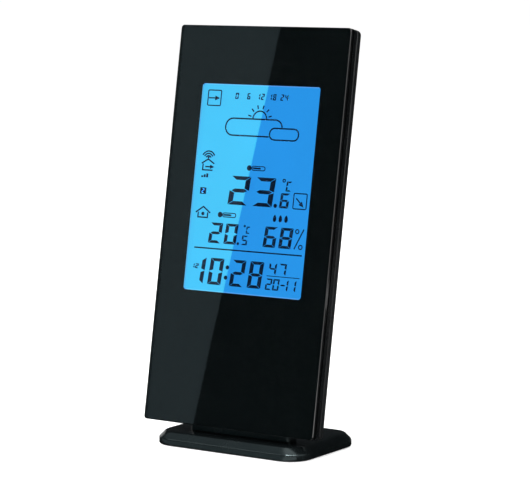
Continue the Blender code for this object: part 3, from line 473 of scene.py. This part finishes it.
def paint_edge(panel):
    """Gives the faces round the clear panel's edge a black gloss, and leaves its front and back clear."""
    mesh = panel.data
    mesh.materials.append(
        moulded("panel_edge_paint", (0.004, 0.0042, 0.0045), 0.12, relief=0.000002, specular=0.8)
    )
    normals = np.empty(3 * len(mesh.polygons))
    mesh.polygons.foreach_get("normal", normals)
    side = np.abs(normals.reshape(-1, 3) @ OUT) < 0.9
    mesh.polygons.foreach_set("material_index", side.astype(np.int32))


# Marks of the display and keys: flat strips between two rails, in millimetres across and up the front


class Row(NamedTuple):
    """A row of figures: the left edges of their feet, the height of their feet, a figure's width and height, and
    the thickness of its upright and level bars."""

    places: tuple
    foot: float
    width: float
    height: float
    upright: float
    level: float


ROWS = {
    "hours": Row((), 130.85, 1.5, 2.5, 0.52, 0.48),
    "outdoor": Row((-10.8, 1.05), 88.7, 9.2, 11.5, 2.3, 1.48),
    "outdoor_tenth": Row((13.7,), 88.65, 4.2, 5.9, 1.12, 0.82),
    "outdoor_unit": Row((16.05,), 95.3, 2.5, 4.0, 0.72, 0.6),
    "indoor": Row((-18.45, -10.95), 72.9, 5.85, 8.15, 1.52, 1.08),
    "indoor_tenth": Row((-2.5,), 73.0, 2.7, 3.8, 0.7, 0.56),
    "indoor_unit": Row((-0.75,), 77.6, 1.8, 2.85, 0.58, 0.5),
    "humidity": Row((7.75, 15.1), 72.9, 5.75, 8.15, 1.52, 1.08),
    "clock": Row((-25.6, -16.95, -6.4, 2.1), 56.35, 6.4, 10.6, 1.75, 1.2),
    "hour_count": Row((-25.6, -23.6), 62.3, 1.65, 1.9, 0.5, 0.42),
    "week": Row((11.6, 16.2), 62.35, 3.5, 4.6, 0.84, 0.64),
    "date": Row((10.7, 14.1, 17.3, 18.3, 21.9), 56.25, 2.9, 4.5, 0.72, 0.58),
    "channel": Row((-23.85,), 92.65, 1.2, 1.7, 0.32, 0.3),
}

# Middles of the first and last number of the hour scale, and the step from figure to figure in a number.
HOUR_SPAN = (-10.9, 11.6)
HOUR_STEP = 2.04

# Numerals: which bars are lit, and how far the figures lean.
LIT_BARS = {
    "0": "abcdef",
    "1": "bc",
    "2": "abged",
    "3": "abgcd",
    "4": "fgbc",
    "5": "afgcd",
    "6": "afgedc",
    "7": "abc",
    "8": "abcdefg",
    "9": "abcdfg",
    "-": "g",
    "C": "afed",
    " ": "",
}
NUMERAL_LEAN = 0.085

# Strokes that several signs share, and the corner of the trend boxes.
SIGN_STROKE = 0.54
BOX_STROKE = 0.44
BOX_CORNER = 0.5
CLOUD_STROKE = 0.58
KEY_STROKE = 0.32

# Half the width left at a pointed end.
POINT = 0.03


def mitred(path, width, closed=False):
    """Two rails half a width either side of a path. Each point moves along the mean of the normals before and
    after it, lengthened so that both edges keep their distance."""
    path = np.asarray(path, float)
    steps = np.diff(path, axis=0, append=path[:1]) if closed else np.diff(path, axis=0)
    steps = steps / np.linalg.norm(steps, axis=1)[:, None]
    normals = np.stack((-steps[:, 1], steps[:, 0]), 1)
    if closed:
        before, after = np.roll(normals, 1, 0), normals
    else:
        before, after = np.vstack((normals[:1], normals)), np.vstack((normals, normals[-1:]))
    mean = before + after
    mean = mean / (mean * after).sum(1)[:, None] * width / 2
    return path + mean, path - mean, closed


def facing(left, right):
    """An open strip whose rails are the right way round for its faces to point outwards."""
    left, right = np.asarray(left, float), np.asarray(right, float)
    ahead = (left[-1] + right[-1]) - (left[0] + right[0])
    side = (left - right).sum(0)
    if ahead[0] * side[1] - ahead[1] * side[0] < 0:
        left, right = right, left
    return left, right, False


def line(*points, width):
    return mitred(points, width)


def arc(x, height, radius, start, end, steps=16):
    """Points of a circle's arc between two angles in degrees."""
    turn = np.radians(np.linspace(start, end, steps))
    return np.stack((x + radius * np.cos(turn), height + radius * np.sin(turn)), 1)


def disc(x, height, radius):
    """A filled disc as a strip between its upper and lower arcs."""
    return facing(arc(x, height, radius, 174, 6), arc(x, height, radius, 186, 354))


def ring(x, height, radius, width, steps=24):
    return mitred(arc(x, height, radius, 0, 360, steps + 1)[:-1], width, True)


def rounded_path(low, high, radius, steps=6):
    """A closed path round a box, each corner a quarter circle."""
    centres = ((high[0] - radius, high[1] - radius, 0), (low[0] + radius, high[1] - radius, 90))
    centres += ((low[0] + radius, low[1] + radius, 180), (high[0] - radius, low[1] + radius, 270))
    return np.vstack([arc(x, height, radius, start, start + 90, steps) for x, height, start in centres])


def boxed(low, high, radius, width):
    return mitred(rounded_path(low, high, radius), width, True)


def slab_mark(low, high):
    """A filled box."""
    return facing((low, (high[0], low[1])), ((low[0], high[1]), high))


def arrow(start, end, width, head):
    """A shaft and a pointed head."""
    start, end = np.array(start, float), np.array(end, float)
    ahead = (end - start) / np.linalg.norm(end - start)
    side = np.array((-ahead[1], ahead[0])) * head * 0.5
    root = end - ahead * head * 1.15
    tip = 0.02 * side
    return [line(start, root, width=width), facing((root + side, end + tip), (root - side, end - tip))]


def rays(centre, reach, angles, width):
    """Short lines that point away from a centre between two distances, at angles in degrees."""
    turns = np.radians(angles)
    ways = np.stack((np.cos(turns), np.sin(turns)), 1)
    return [line(centre + reach[0] * way, centre + reach[1] * way, width=width) for way in ways]


def rising_bars(left, foot, levels, pitch, width):
    """Filled bars of their own heights, side by side on one line."""
    lefts = left + pitch * np.arange(len(levels))
    return [slab_mark((x, foot), (x + width, foot + level)) for x, level in zip(lefts, levels)]


def drop(x, height, size):
    """A water drop: a circle below, drawn out to a point above, as half-widths up its height."""
    share = np.linspace(0.02, 0.985, 14)
    half = 0.62 * size * np.sqrt(share) * (1 - share) ** 0.75
    levels = height + size * share
    return facing(np.stack((x - half, levels), 1), np.stack((x + half, levels), 1))


def numeral_bars(width, height, upright, level):
    """The seven bars of a figure in its own box, each between two rails and cut on the slant at its ends."""
    gap = 0.045 * upright + 0.035
    middle, half = height / 2, level / 2
    size = np.array((width, height))
    top = [[(gap, height), (width - gap, height)]]
    top.append([(upright + gap, height - level), (width - upright - gap, height - level)])
    side = [[(0, height - gap), (0, middle + gap)]]
    side.append([(upright, height - level - gap), (upright, middle + half + gap)])
    ends = (0.42 * upright, upright + gap, width - upright - gap, width - 0.42 * upright)
    rise = np.array((0.06, 1, 1, 0.06)) * half
    bar = np.stack((np.stack((ends, middle + rise), 1), np.stack((ends, middle - rise), 1)))
    top, side = np.array(top, float), np.array(side, float)
    across, down = np.array((-1, 1)), np.array((1, -1))
    return {
        "a": top,
        "d": top * down + size * (0, 1),
        "f": side,
        "b": side * across + size * (1, 0),
        "e": side * down + size * (0, 1),
        "c": side * -1 + size,
        "g": bar,
    }


def figures(text, name, places=None):
    """Leaning figures of lit bars in a named row, at its own places where none are given."""
    row = ROWS[name]
    shapes = numeral_bars(row.width, row.height, row.upright, row.level)
    strips = []
    for letter, place in zip(text, row.places if places is None else places):
        for bar in LIT_BARS[letter]:
            rails = shapes[bar].copy()
            rails[..., 0] += place + NUMERAL_LEAN * rails[..., 1]
            rails[..., 1] += row.foot
            strips.append(facing(*rails))
    return strips


def strips_solid(strips, depths):
    """Thin solids from flat strips in millimetres: each station of a strip is a ring of four corners."""
    points, faces, start = [], [], 0
    for left, right, closed in strips:
        count = len(left)
        corners = np.stack((left, right, right, left), 1) * MM
        depth = np.broadcast_to((depths[0], depths[0], depths[1], depths[1]), (count, 4))
        points.append(on_slab(corners[..., 0], corners[..., 1], depth).reshape(-1, 3))
        quads = [grid_faces(count, 4, closed)]
        if not closed:
            quads.append(np.array(((3, 2, 1, 0), np.arange(4) + 4 * (count - 1))))
        faces.append(np.vstack(quads) + start)
        start += 4 * count
    return np.vstack(points), np.vstack(faces).tolist()


def forecast_marks(look):
    """Trend arrow in its box, hour scale, and a sun behind two clouds."""
    numbers = look.hours.split()
    scale = []
    for number, middle in zip(numbers, np.linspace(*HOUR_SPAN, len(numbers))):
        places = middle + HOUR_STEP * (np.arange(len(number)) - len(number) / 2)
        scale += figures(number, "hours", places)
    sun = np.array((0.72, 123.1))
    height, radius = 119.75, 3.4
    left, right = arc(-11.8, height, radius, 270, 90, 20), arc(8.3, height, radius, 90, 8, 12)
    return [
        boxed((-25.05, 127.9), (-18.75, 134.05), BOX_CORNER, BOX_STROKE),
        *arrow((-24.6, 130.9), (-19.35, 130.9), width=0.48, head=1.9),
        *scale,
        mitred(arc(*sun, 3.3, 6, 174, 24), SIGN_STROKE),
        *rays(sun, (4.25, 5.75), np.arange(15, 180, 30), width=0.52),
        mitred(np.vstack(((5.75, height - radius), left, right)), CLOUD_STROKE),
        boxed((6.05, 115.25), (19.65, 119.85), 2.2, CLOUD_STROKE),
    ]


def place_marks():
    """The two places measured: a house with radio waves above it, signal bars and its channel's box below, and a
    house with its room marked."""
    mast = -22.05
    return [
        disc(mast, 106.95, 0.42),
        *(mitred(arc(mast, 106.3, radius, 28, 152), 0.52) for radius in (1.3, 2.25, 3.2)),
        line((-25.1, 104.5), (mast, 106.25), (-19.0, 104.5), width=SIGN_STROKE),
        line((-24.4, 104.35), (-24.4, 101.85), (-19.6, 101.85), width=SIGN_STROKE),
        *arrow((-23.2, 103.2), (-18.9, 103.2), width=0.56, head=1.7),
        *rising_bars(-24.7, 98.9, (0.7, 1.15, 1.6), pitch=1.2, width=0.85),
        slab_mark((-24.6, 92.2), (-21.7, 94.8)),
        line((-25.7, 84.75), (-22.2, 87.15), (-18.7, 84.75), width=SIGN_STROKE),
        line((-24.5, 84.9), (-24.5, 82.85), (-19.9, 82.85), (-19.9, 84.9), width=SIGN_STROKE),
        disc(-22.2, 84.3, 0.72),
    ]


def thermometer(x, height):
    """A thermometer lying down: a full bulb, an outlined tube and the thread in it."""
    tube_low, tube_high = (x + 1.3, height - 0.8), (x + 7.5, height + 0.8)
    thread = line((x + 1.7, height), (x + 5.4, height), width=0.7)
    return [disc(x, height, 1.1), boxed(tube_low, tube_high, 0.75, 0.36), thread]


def reading_marks(look):
    """Temperatures and humidity with their units and signs, and the trend beside the outdoor reading."""
    outdoor, outdoor_tenth = look.outdoor.split(".")
    indoor, indoor_tenth = look.indoor.split(".")
    return [
        *figures(outdoor, "outdoor"),
        disc(11.95, 89.4, 0.82),
        *figures(outdoor_tenth, "outdoor_tenth"),
        ring(15.0, 99.5, 0.55, 0.44),
        *figures("C", "outdoor_unit"),
        boxed((20.2, 88.75), (26.3, 94.8), BOX_CORNER, BOX_STROKE),
        *arrow((21.4, 92.9), (25.1, 89.5), width=0.5, head=2.0),
        *figures(indoor, "indoor"),
        disc(-4.0, 73.4, 0.58),
        *figures(indoor_tenth, "indoor_tenth"),
        ring(-1.5, 80.55, 0.32, 0.34, 12),
        *figures("C", "indoor_unit"),
        *figures(look.humidity, "humidity"),
        ring(23.3, 79.95, 0.76, 0.44),
        ring(25.4, 73.9, 0.8, 0.44),
        line((22.5, 73.0), (26.3, 80.95), width=0.5),
        *thermometer(-2.0, 103.65),
        *thermometer(-13.8, 84.4),
        *(drop(x, 83.0, 2.9) for x in (12.2, 14.9, 17.6)),
    ]


def clock_marks(look):
    """The time below its dividing line with the hours it counts, and the week and date beside it."""
    return [
        line((-24.8, 70.65), (26.4, 70.65), width=SIGN_STROKE),
        *figures(look.clock.replace(":", ""), "clock"),
        disc(-7.9, 63.65, 0.82),
        disc(-8.3, 59.55, 0.82),
        *figures("12", "hour_count"),
        *figures(look.week, "week"),
        line((11.0, 61.75), (26.4, 61.75), width=0.3),
        *figures(look.date, "date"),
    ]


def pointer(x, foot, tip):
    """A filled triangle from its foot to its tip."""
    half = 1.3
    return facing(((x - half, foot), (x - POINT, tip)), ((x + half, foot), (x + POINT, tip)))


def key_marks(name, x, height):
    """A plain sign for one key, in the key's own place."""
    if name == "up":
        return [pointer(x, height - 0.8, height + 1.0)]
    if name == "down":
        return [pointer(x, height + 0.8, height - 1.0)]
    if name == "mode":
        return [ring(x, height, 0.95, KEY_STROKE)]
    if name == "channel":
        return rising_bars(x - 1.5, height - 0.9, (0.6, 1.2, 1.8), pitch=1.1, width=0.6)
    centre = np.array((x, height))
    return [disc(x, height, 0.75)] + rays(centre, (1.25, 2.0), np.arange(0, 360, 45), KEY_STROKE)


def middle_of(name):
    """Where a solid's middle lies on the console, sideways and up, in millimetres."""
    points = node_points(name) - ORIGIN
    spans = [points @ axis for axis in (ACROSS, UP)]
    return [float(span.min() + span.max()) / 2 / MM for span in spans]


# Screws


def cross_headed_screw(name):
    """Rings about a screw's axis, from the middle of its crown over the rim and down the shank to the tip. The
    crown falls as the fourth power of the radius, and a cross is sunk into it whose depth runs out at the sides
    and ends of its arms."""
    points = node_points(name) - ORIGIN
    depth = -(points @ OUT)
    x, height = np.array(middle_of(name)) * MM
    head = np.hypot(points @ ACROSS - x, points @ UP - height).max()
    back, front = depth.max(), depth.min()
    share = np.linspace(0.03, 1.0, CROWN_RINGS)
    radius = np.concatenate((share, (1.0, SHANK, SHANK, TIP))) * head
    crown = back - HEAD_DOME * share**4
    level = np.concatenate((crown, (back - HEAD_HEIGHT,) * 2, (front + HEAD_DOME, front)))
    turn = np.linspace(0.0, 2 * np.pi, SCREW_SIDES, endpoint=False)
    across, along = radius[:, None] * np.cos(turn), radius[:, None] * np.sin(turn)
    arm = np.minimum(np.abs(across), np.abs(along)) / head
    reach = np.maximum(np.abs(across), np.abs(along)) / head
    sunk = np.clip((CROSS_HALF - arm) / CROSS_SLOPE, 0, 1) * np.clip((CROSS_REACH - reach) / CROSS_END, 0, 1)
    sunk[CROWN_RINGS:] = 0.0
    rings = on_slab(x + across, height + along, level[:, None] - HEAD_DOME * sunk)
    first = np.arange(SCREW_SIDES)
    ends = [first[::-1].tolist(), (first + SCREW_SIDES * (len(radius) - 1)).tolist()]
    return rings.reshape(-1, 3), grid_faces(len(radius), SCREW_SIDES).tolist() + ends


# Properties


def colour_setting(name, description, default):
    return bpy.props.FloatVectorProperty(name=name, description=description, subtype="COLOR", default=default)


def number_setting(name, description, default):
    return bpy.props.FloatProperty(name=name, description=description, default=default)


def text_setting(name, description, default):
    return bpy.props.StringProperty(name=name, description=description, default=default)


def lamp_power(name, where, default):
    description = f"Power of the lamp {where}"
    return bpy.props.FloatProperty(name=name, description=description, unit="POWER", default=default)


class StationFinish(bpy.types.PropertyGroup):
    """Colours of the mouldings."""

    case_colour: colour_setting("Case", "Colour of the front case", (0.0041, 0.0048, 0.0053))
    cover_colour: colour_setting("Cover", "Colour of the rear cover and its door", (0.0080, 0.0092, 0.0098))
    foot_colour: colour_setting("Foot", "Colour of the stand", (0.0042, 0.0058, 0.0063))
    key_colour: colour_setting("Keys", "Colour of the key caps", (0.016, 0.016, 0.017))
    mark_colour: colour_setting("Key marks", "Colour of the signs on the keys", (0.32, 0.32, 0.32))
    eased_edge: bpy.props.FloatProperty(
        name="Eased edge", description="Width of the stand's eased edges", unit="LENGTH", default=0.00018
    )


class StationDisplay(bpy.types.PropertyGroup):
    """What the display shows, and its colours."""

    glow: colour_setting("Glow", "Light of the display", (0.0152, 0.253, 0.828))
    film: colour_setting("Film", "Tint of what the display mirrors", (0.208, 1.0, 0.512))
    ink: colour_setting("Bars", "Colour of the lit bars", (0.0, 0.004, 0.015))
    window_half: number_setting("Window half width", "In millimetres", 28.2)
    window_low: number_setting("Window foot", "In millimetres", 53.5)
    window_high: number_setting("Window head", "In millimetres", 136.7)
    hours: text_setting("Hours", "Scale above the forecast", "0 6 12 18 24")
    outdoor: text_setting("Outdoor", "Outdoor temperature", "23.6")
    indoor: text_setting("Indoor", "Indoor temperature", "20.5")
    humidity: text_setting("Humidity", "Relative humidity", "68")
    clock: text_setting("Clock", "Time of day", "10:28")
    week: text_setting("Week", "Week of the year", "47")
    date: text_setting("Date", "Day and month", "20-11")
    channel: text_setting("Channel", "Outdoor channel", "2")


class StationStage(bpy.types.PropertyGroup):
    """Camera, floor and light."""

    camera: bpy.props.FloatVectorProperty(
        name="Camera",
        description="Place of the camera",
        subtype="XYZ",
        unit="LENGTH",
        default=(0.51834, -0.77217, 0.19523),
    )
    aim: bpy.props.FloatVectorProperty(
        name="Aim", description="Where the camera looks", subtype="XYZ", default=(-0.54946, 0.82622, -0.12432)
    )
    lens: number_setting("Lens", "Focal length in millimetres", 160.07)
    floor_colour: colour_setting("Floor", "Colour of the floor", (0.84, 0.84, 0.84))
    lift: number_setting("Lift", "Light added where the floor is seen", 0.6)
    world: number_setting("World", "Strength of the light all round", 0.5)
    key: lamp_power("Key", "in front", 16.0)
    front: lamp_power("Front", "near the camera", 9.0)
    overhead: lamp_power("Overhead", "above", 3.0)
    back: lamp_power("Back", "behind", 10.0)
    side: lamp_power("Side", "at the side", 1.2)
    screen: colour_setting("Screen", "Light of the dark screens in front", (0.036, 0.058, 0.062))
    wall: colour_setting("Wall", "Light of the dark walls behind", (0.011, 0.0125, 0.0135))
    high: colour_setting("High screen", "Light of the screen high in front", (0.33, 0.39, 0.41))
    strip: number_setting("Strip", "Light of the strip high in front", 4.4)
    corner: number_setting("Corner", "Light of the strip above the camera", 14.0)
    card: colour_setting("Card", "Light of the pale card in front", (0.254, 0.360, 0.395))


class StationSettings(bpy.types.PropertyGroup):
    """All the settings of the station's looks."""

    finish: bpy.props.PointerProperty(type=StationFinish)
    display: bpy.props.PointerProperty(type=StationDisplay)
    stage: bpy.props.PointerProperty(type=StationStage)


# Stage


def set_camera(scene, look):
    lens = bpy.data.cameras.new("camera")
    lens.lens = look.lens
    lens.sensor_width = 36.0
    camera = bpy.data.objects.new("camera", lens)
    camera.location = look.camera
    camera.rotation_euler = Vector(look.aim).to_track_quat("-Z", "Y").to_euler()
    scene.collection.objects.link(camera)
    scene.camera = camera


def seen_directly(tree, high, low):
    """One value for rays of the camera, gloss and glass, and another for the rest."""
    path = tree.add("LightPath")
    camera, gloss, glass = (path.outputs[f"Is {kind} Ray"] for kind in ("Camera", "Glossy", "Transmission"))
    seen = tree.math("MAXIMUM", tree.math("MAXIMUM", camera, gloss), glass)
    return tree.spread(seen, low, high, 0.0, 1.0)


def set_world(scene, look):
    """Soft light all round, which the camera, gloss and glass see as white."""
    world = bpy.data.worlds.new("studio")
    tree = Tree(world)
    background = tree.nodes["Background"]
    background.inputs["Color"].default_value = (1.0, 1.0, 1.0, 1.0)
    tree.links.new(seen_directly(tree, 1.0, look.world), background.inputs["Strength"])
    scene.world = world


def set_floor(look):
    """A wide pale floor that keeps the object's shadow, lifted to white where it is seen."""
    corners = [(x, y, 0.0) for x, y in ((-1, -1), (1, -1), (1, 1), (-1, 1))]
    mesh = bpy.data.meshes.new("floor")
    mesh.from_pydata((np.array(corners) * FLOOR_HALF).tolist(), [], [(0, 1, 2, 3)])
    tree = Tree("floor_paper")
    colour = tuple(look.floor_colour)
    tree.feed(tree.blend(tree.noise(3.0), tinted(colour, 0.99), colour), "Base Color")
    tree.set(Roughness=0.9, Specular_IOR_Level=0.0, Emission_Color=(1.0, 1.0, 1.0, 1.0))
    tree.feed(seen_directly(tree, look.lift, 0.0), "Emission Strength")
    mesh.materials.append(tree.material)
    floor = bpy.data.objects.new("floor", mesh)
    bpy.context.scene.collection.objects.link(floor)


def lit_card(name, points, faces, colour):
    """A card that only gloss and glass see."""
    mesh = bpy.data.meshes.new(name)
    mesh.from_pydata(points, [], faces)
    tree = Tree(f"{name}_paper")
    tree.set(Base_Color=(0.0, 0.0, 0.0, 1.0), Roughness=1.0, Specular_IOR_Level=0.0)
    tree.set(Emission_Color=(*colour, 1.0), Emission_Strength=1.0)
    mesh.materials.append(tree.material)
    card = bpy.data.objects.new(name, mesh)
    card.visible_camera = card.visible_diffuse = card.visible_shadow = card.visible_volume_scatter = False
    bpy.context.scene.collection.objects.link(card)


def arc_card(name, bearings, radii, heights, colour):
    """A card on an arc round the object between two bearings, in degrees from +X towards +Y: its two edges are
    circles of the given radii at the given heights."""
    turn = np.radians(np.linspace(*bearings, 49))
    around = np.stack((np.cos(turn), np.sin(turn), np.zeros(len(turn))), 1)
    points = np.vstack([radius * around + (0.0, 0.0, height) for radius, height in zip(radii, heights)])
    first = np.arange(len(turn) - 1)
    faces = np.stack((first, first + 1, first + 1 + len(turn), first + len(turn)), 1)
    lit_card(name, points.tolist(), faces.tolist(), colour)


def standing_card(name, bearings, radius, heights, colour):
    """An upright card on an arc."""
    arc_card(name, bearings, (radius, radius), heights, colour)


def set_screens(look):
    """Dark screens and floors before the panel and beside it, dark walls close behind the case, and lights high
    up: a strip that the edges mirror, one above the camera for the foot's corner, and a wide screen."""
    dark, wall, high = tuple(look.screen), tuple(look.wall), tuple(look.high)
    tall, floor_end = 5.6, SCREEN_RADIUS + 0.1
    floor_heights, wall_heights = (ON_FLOOR, ON_FLOOR), (0.0005, 0.45)
    standing_card("front_screen", (165.0, 280.0), SCREEN_RADIUS, (ON_FLOOR, tall), dark)
    standing_card("right_screen", (280.0, 321.0), SCREEN_RADIUS, (ON_FLOOR, 1.0), dark)
    arc_card("front_floor", (165.0, 321.0), (0.118, floor_end), floor_heights, dark)
    arc_card("side_floor", (338.0, 375.0), (0.098, floor_end), floor_heights, wall)
    standing_card("back_wall", (15.0, 85.0), WALL_RADIUS, wall_heights, wall)
    standing_card("left_wall", (85.0, 138.0), WALL_RADIUS, wall_heights, tinted(wall, 2.0))
    standing_card("edge_strip", (215.0, 250.0), 2.5, (1.15, 1.5), (look.strip,) * 3)
    standing_card("corner_strip", (279.0, 332.0), 1.5, (0.7, 1.5), (look.corner,) * 3)
    standing_card("high_screen", (150.0, 280.0), 2.55, (1.75, tall), high)


def set_floor_cards(look):
    """Cards on the floor by the foot: a dark one under it and another behind, and a light one before it."""
    left, front, back, right = -0.12, -0.026, 0.06, 0.10
    corner = (0.027, front)
    under = [(left, front), corner, (0.040, -0.024), (right, -0.066), (right, back), (left, back)]
    behind = [(right, back), (0.38, 0.18), (0.06, 0.42), (0.05, back)]
    points = [(x, y, OVER_FLOOR) for x, y in under + behind]
    lit_card("floor_card", points, [(0, 1, 2, 3, 4, 5), (6, 7, 8, 9)], tuple(look.wall))
    before = [(left, -0.08), (0.032, -0.08), corner, (left, front)]
    lit_card("front_card", [(x, y, OVER_FLOOR) for x, y in before], [(0, 1, 2, 3)], tinted(look.high, 1.25))


def set_pale_card(look):
    """A pale card whose edge crosses the panel on the slant: its corners lie where lines from the camera's mirror
    image through the panel meet a plane in front of it."""
    camera = np.array(look.camera)
    image = camera - 2 * OUT * ((camera - ORIGIN) @ OUT)
    slope = (GLEAM_HEAD[0] - GLEAM_FOOT[0]) / (GLEAM_HEAD[1] - GLEAM_FOOT[1])
    low, high = [(GLEAM_FOOT[0] + slope * (height - GLEAM_FOOT[1]), height) for height in GLEAM_SPAN]
    corners = np.array([(GLEAM_SIDE, low[1]), low, high, (GLEAM_SIDE, high[1])]) * MM
    through = on_slab(corners[:, 0], corners[:, 1], np.zeros(4)) - image
    thrown = image + through * ((GLEAM_AWAY + (ORIGIN - image) @ OUT) / (through @ OUT))[:, None]
    lit_card("pale_card", thrown.tolist(), [(0, 1, 2, 3)], tuple(look.card))


def set_lamp(name, place, size, power, mirrored=False):
    """A soft rectangular lamp turned to the object, which shows in gloss where asked."""
    lamp = bpy.data.lights.new(name, "AREA")
    lamp.shape = "RECTANGLE"
    lamp.size, lamp.size_y = size
    lamp.energy = power
    holder = bpy.data.objects.new(name, lamp)
    holder.location = place
    holder.visible_glossy = holder.visible_transmission = mirrored
    middle = Vector((0.0, 0.0, 0.08))
    holder.rotation_euler = (middle - Vector(place)).to_track_quat("-Z", "Y").to_euler()
    bpy.context.scene.collection.objects.link(holder)


# Operators

PADS = [f"stand_pad_{number}" for number in range(1, 5)]
COVERS = ("rear_cover", "battery_door")
POWER = ("battery_lower", "battery_upper", "negative_spring", "bridge_spring", "negative_lead", "positive_lead")
BOARD_PARTS = ("capacitor", "clock_crystal", "controller_chip", "piezo_buzzer", "radio_aerial", "thermistor")
KEYS = ("mode", "up", "down", "channel", "light")
SCREWS = [f"case_screw_{number}" for number in range(1, 5)]


class STATION_OT_finishes(bpy.types.Operator):
    """Gives every solid the finish of its slot"""

    bl_idname = "station.finishes"
    bl_label = "Finish the solids"

    def execute(self, context):
        finishes.update(make_finishes(context.scene.station))
        for name, node in NODES.items():
            node.material_slots[0].material = finishes[SLOTS[name]]
        return {"FINISHED"}


class STATION_OT_stand(bpy.types.Operator):
    """Smooths the stand and its pads, and eases the stand's edges"""

    bl_idname = "station.stand"
    bl_label = "Finish the stand"

    def execute(self, context):
        stand = smooth_copy("stand_base", refit=ribs_flush)
        ease_edges(stand, context.scene.station.finish.eased_edge)
        for name in PADS:
            smooth_copy(name)
        return {"FINISHED"}


class STATION_OT_case(bpy.types.Operator):
    """Smooths the case, its cover and door, the clear panel and the mask"""

    bl_idname = "station.case"
    bl_label = "Finish the case"

    def execute(self, context):
        colour = tuple(context.scene.station.finish.cover_colour)
        grained = moulded("cover_grain", colour, 0.42, grain=3000.0, relief=0.00002, specular=0.2)
        smooth_copy("front_case", CRISP)
        for name in COVERS:
            smooth_copy(name, CRISP).data.materials[0] = grained
        paint_edge(smooth_copy("front_panel"))
        smooth_copy("panel_mask", refit=laid_between)
        return {"FINISHED"}


class STATION_OT_display(bpy.types.Operator):
    """Draws the display's figures and signs"""

    bl_idname = "station.display"
    bl_label = "Draw the display"

    def execute(self, context):
        look = context.scene.station.display
        strips = forecast_marks(look) + place_marks() + reading_marks(look) + clock_marks(look)
        ink = display_ink("display_bars", tuple(look.ink))
        new_piece("display_marks", *strips_solid(strips, MARK_DEPTHS), ink, "console", "display_blue")
        bright = strips_solid(figures(look.channel, "channel"), BRIGHT_MARK_DEPTHS)
        glow = bright_bar("display_bright_bars", look)
        new_piece("display_bright_marks", *bright, glow, "console", "display_blue")
        return {"FINISHED"}


class STATION_OT_keys(bpy.types.Operator):
    """Smooths the keys and prints a plain sign on each"""

    bl_idname = "station.keys"
    bl_label = "Finish the keys"

    def execute(self, context):
        paint = moulded("key_paint", tuple(context.scene.station.finish.mark_colour), 0.5)
        for name in KEYS:
            smooth_copy(f"{name}_key")
            sign = strips_solid(key_marks(name, *middle_of(f"{name}_key")), KEY_MARK_DEPTHS)
            new_piece(f"{name}_sign", *sign, paint, f"{name}_button", "key_black")
        return {"FINISHED"}


class STATION_OT_screws(bpy.types.Operator):
    """Makes the screws with their cross recesses"""

    bl_idname = "station.screws"
    bl_label = "Make the screws"

    def execute(self, context):
        for name in SCREWS:
            slot, body = SLOTS[name], NODES[name]["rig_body"]
            screw = new_piece(f"{name}_cross", *cross_headed_screw(name), finishes[slot], body, slot)
            smooth_shading(screw.data, SCREW_EDGE)
            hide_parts(name)
        return {"FINISHED"}


class STATION_OT_insides(bpy.types.Operator):
    """Smooths the cells, contacts, leads and round parts of the board"""

    bl_idname = "station.insides"
    bl_label = "Finish the insides"

    def execute(self, context):
        for name in POWER + BOARD_PARTS:
            smooth_copy(name, SOFT)
        return {"FINISHED"}


class STATION_OT_stage(bpy.types.Operator):
    """Sets the camera, the pale floor and the soft light"""

    bl_idname = "station.stage"
    bl_label = "Set the stage"

    def execute(self, context):
        look = context.scene.station.stage
        set_camera(context.scene, look)
        set_world(context.scene, look)
        set_floor(look)
        set_screens(look)
        set_floor_cards(look)
        set_pale_card(look)
        set_lamp("key_lamp", (-0.75, -1.05, 1.05), (0.8, 0.8), look.key)
        set_lamp("front_lamp", (0.31, -1.02, 0.75), (0.3, 0.3), look.front, mirrored=True)
        set_lamp("overhead_lamp", (0.15, -0.25, 1.1), (0.9, 0.9), look.overhead, mirrored=True)
        set_lamp("back_lamp", (-0.45, 1.1, 0.9), (1.0, 1.0), look.back)
        set_lamp("side_lamp", (1.05, -0.66, 0.26), (0.25, 0.9), look.side)
        context.scene.view_settings.view_transform = "Standard"
        return {"FINISHED"}


class STATION_PT_looks(bpy.types.Panel):
    """Lists the steps that dress the station"""

    bl_label = "Weather Station"
    bl_idname = "STATION_PT_looks"
    bl_space_type = "VIEW_3D"
    bl_region_type = "UI"
    bl_category = "Station"

    def draw(self, context):
        for step in STEPS:
            self.layout.operator(step.bl_idname)


STEPS = (
    STATION_OT_stage,
    STATION_OT_finishes,
    STATION_OT_stand,
    STATION_OT_case,
    STATION_OT_display,
    STATION_OT_keys,
    STATION_OT_screws,
    STATION_OT_insides,
)
CLASSES = (StationFinish, StationDisplay, StationStage, StationSettings, *STEPS, STATION_PT_looks)


def register():
    for item in CLASSES:
        bpy.utils.register_class(item)
    bpy.types.Scene.station = bpy.props.PointerProperty(type=StationSettings)


def unregister():
    del bpy.types.Scene.station
    for item in reversed(CLASSES):
        bpy.utils.unregister_class(item)


def main():
    register()
    for step in STEPS:
        group, action = step.bl_idname.split(".")
        getattr(getattr(bpy.ops, group), action)()
    bpy.context.view_layer.update()


if __name__ == "__main__":
    main()
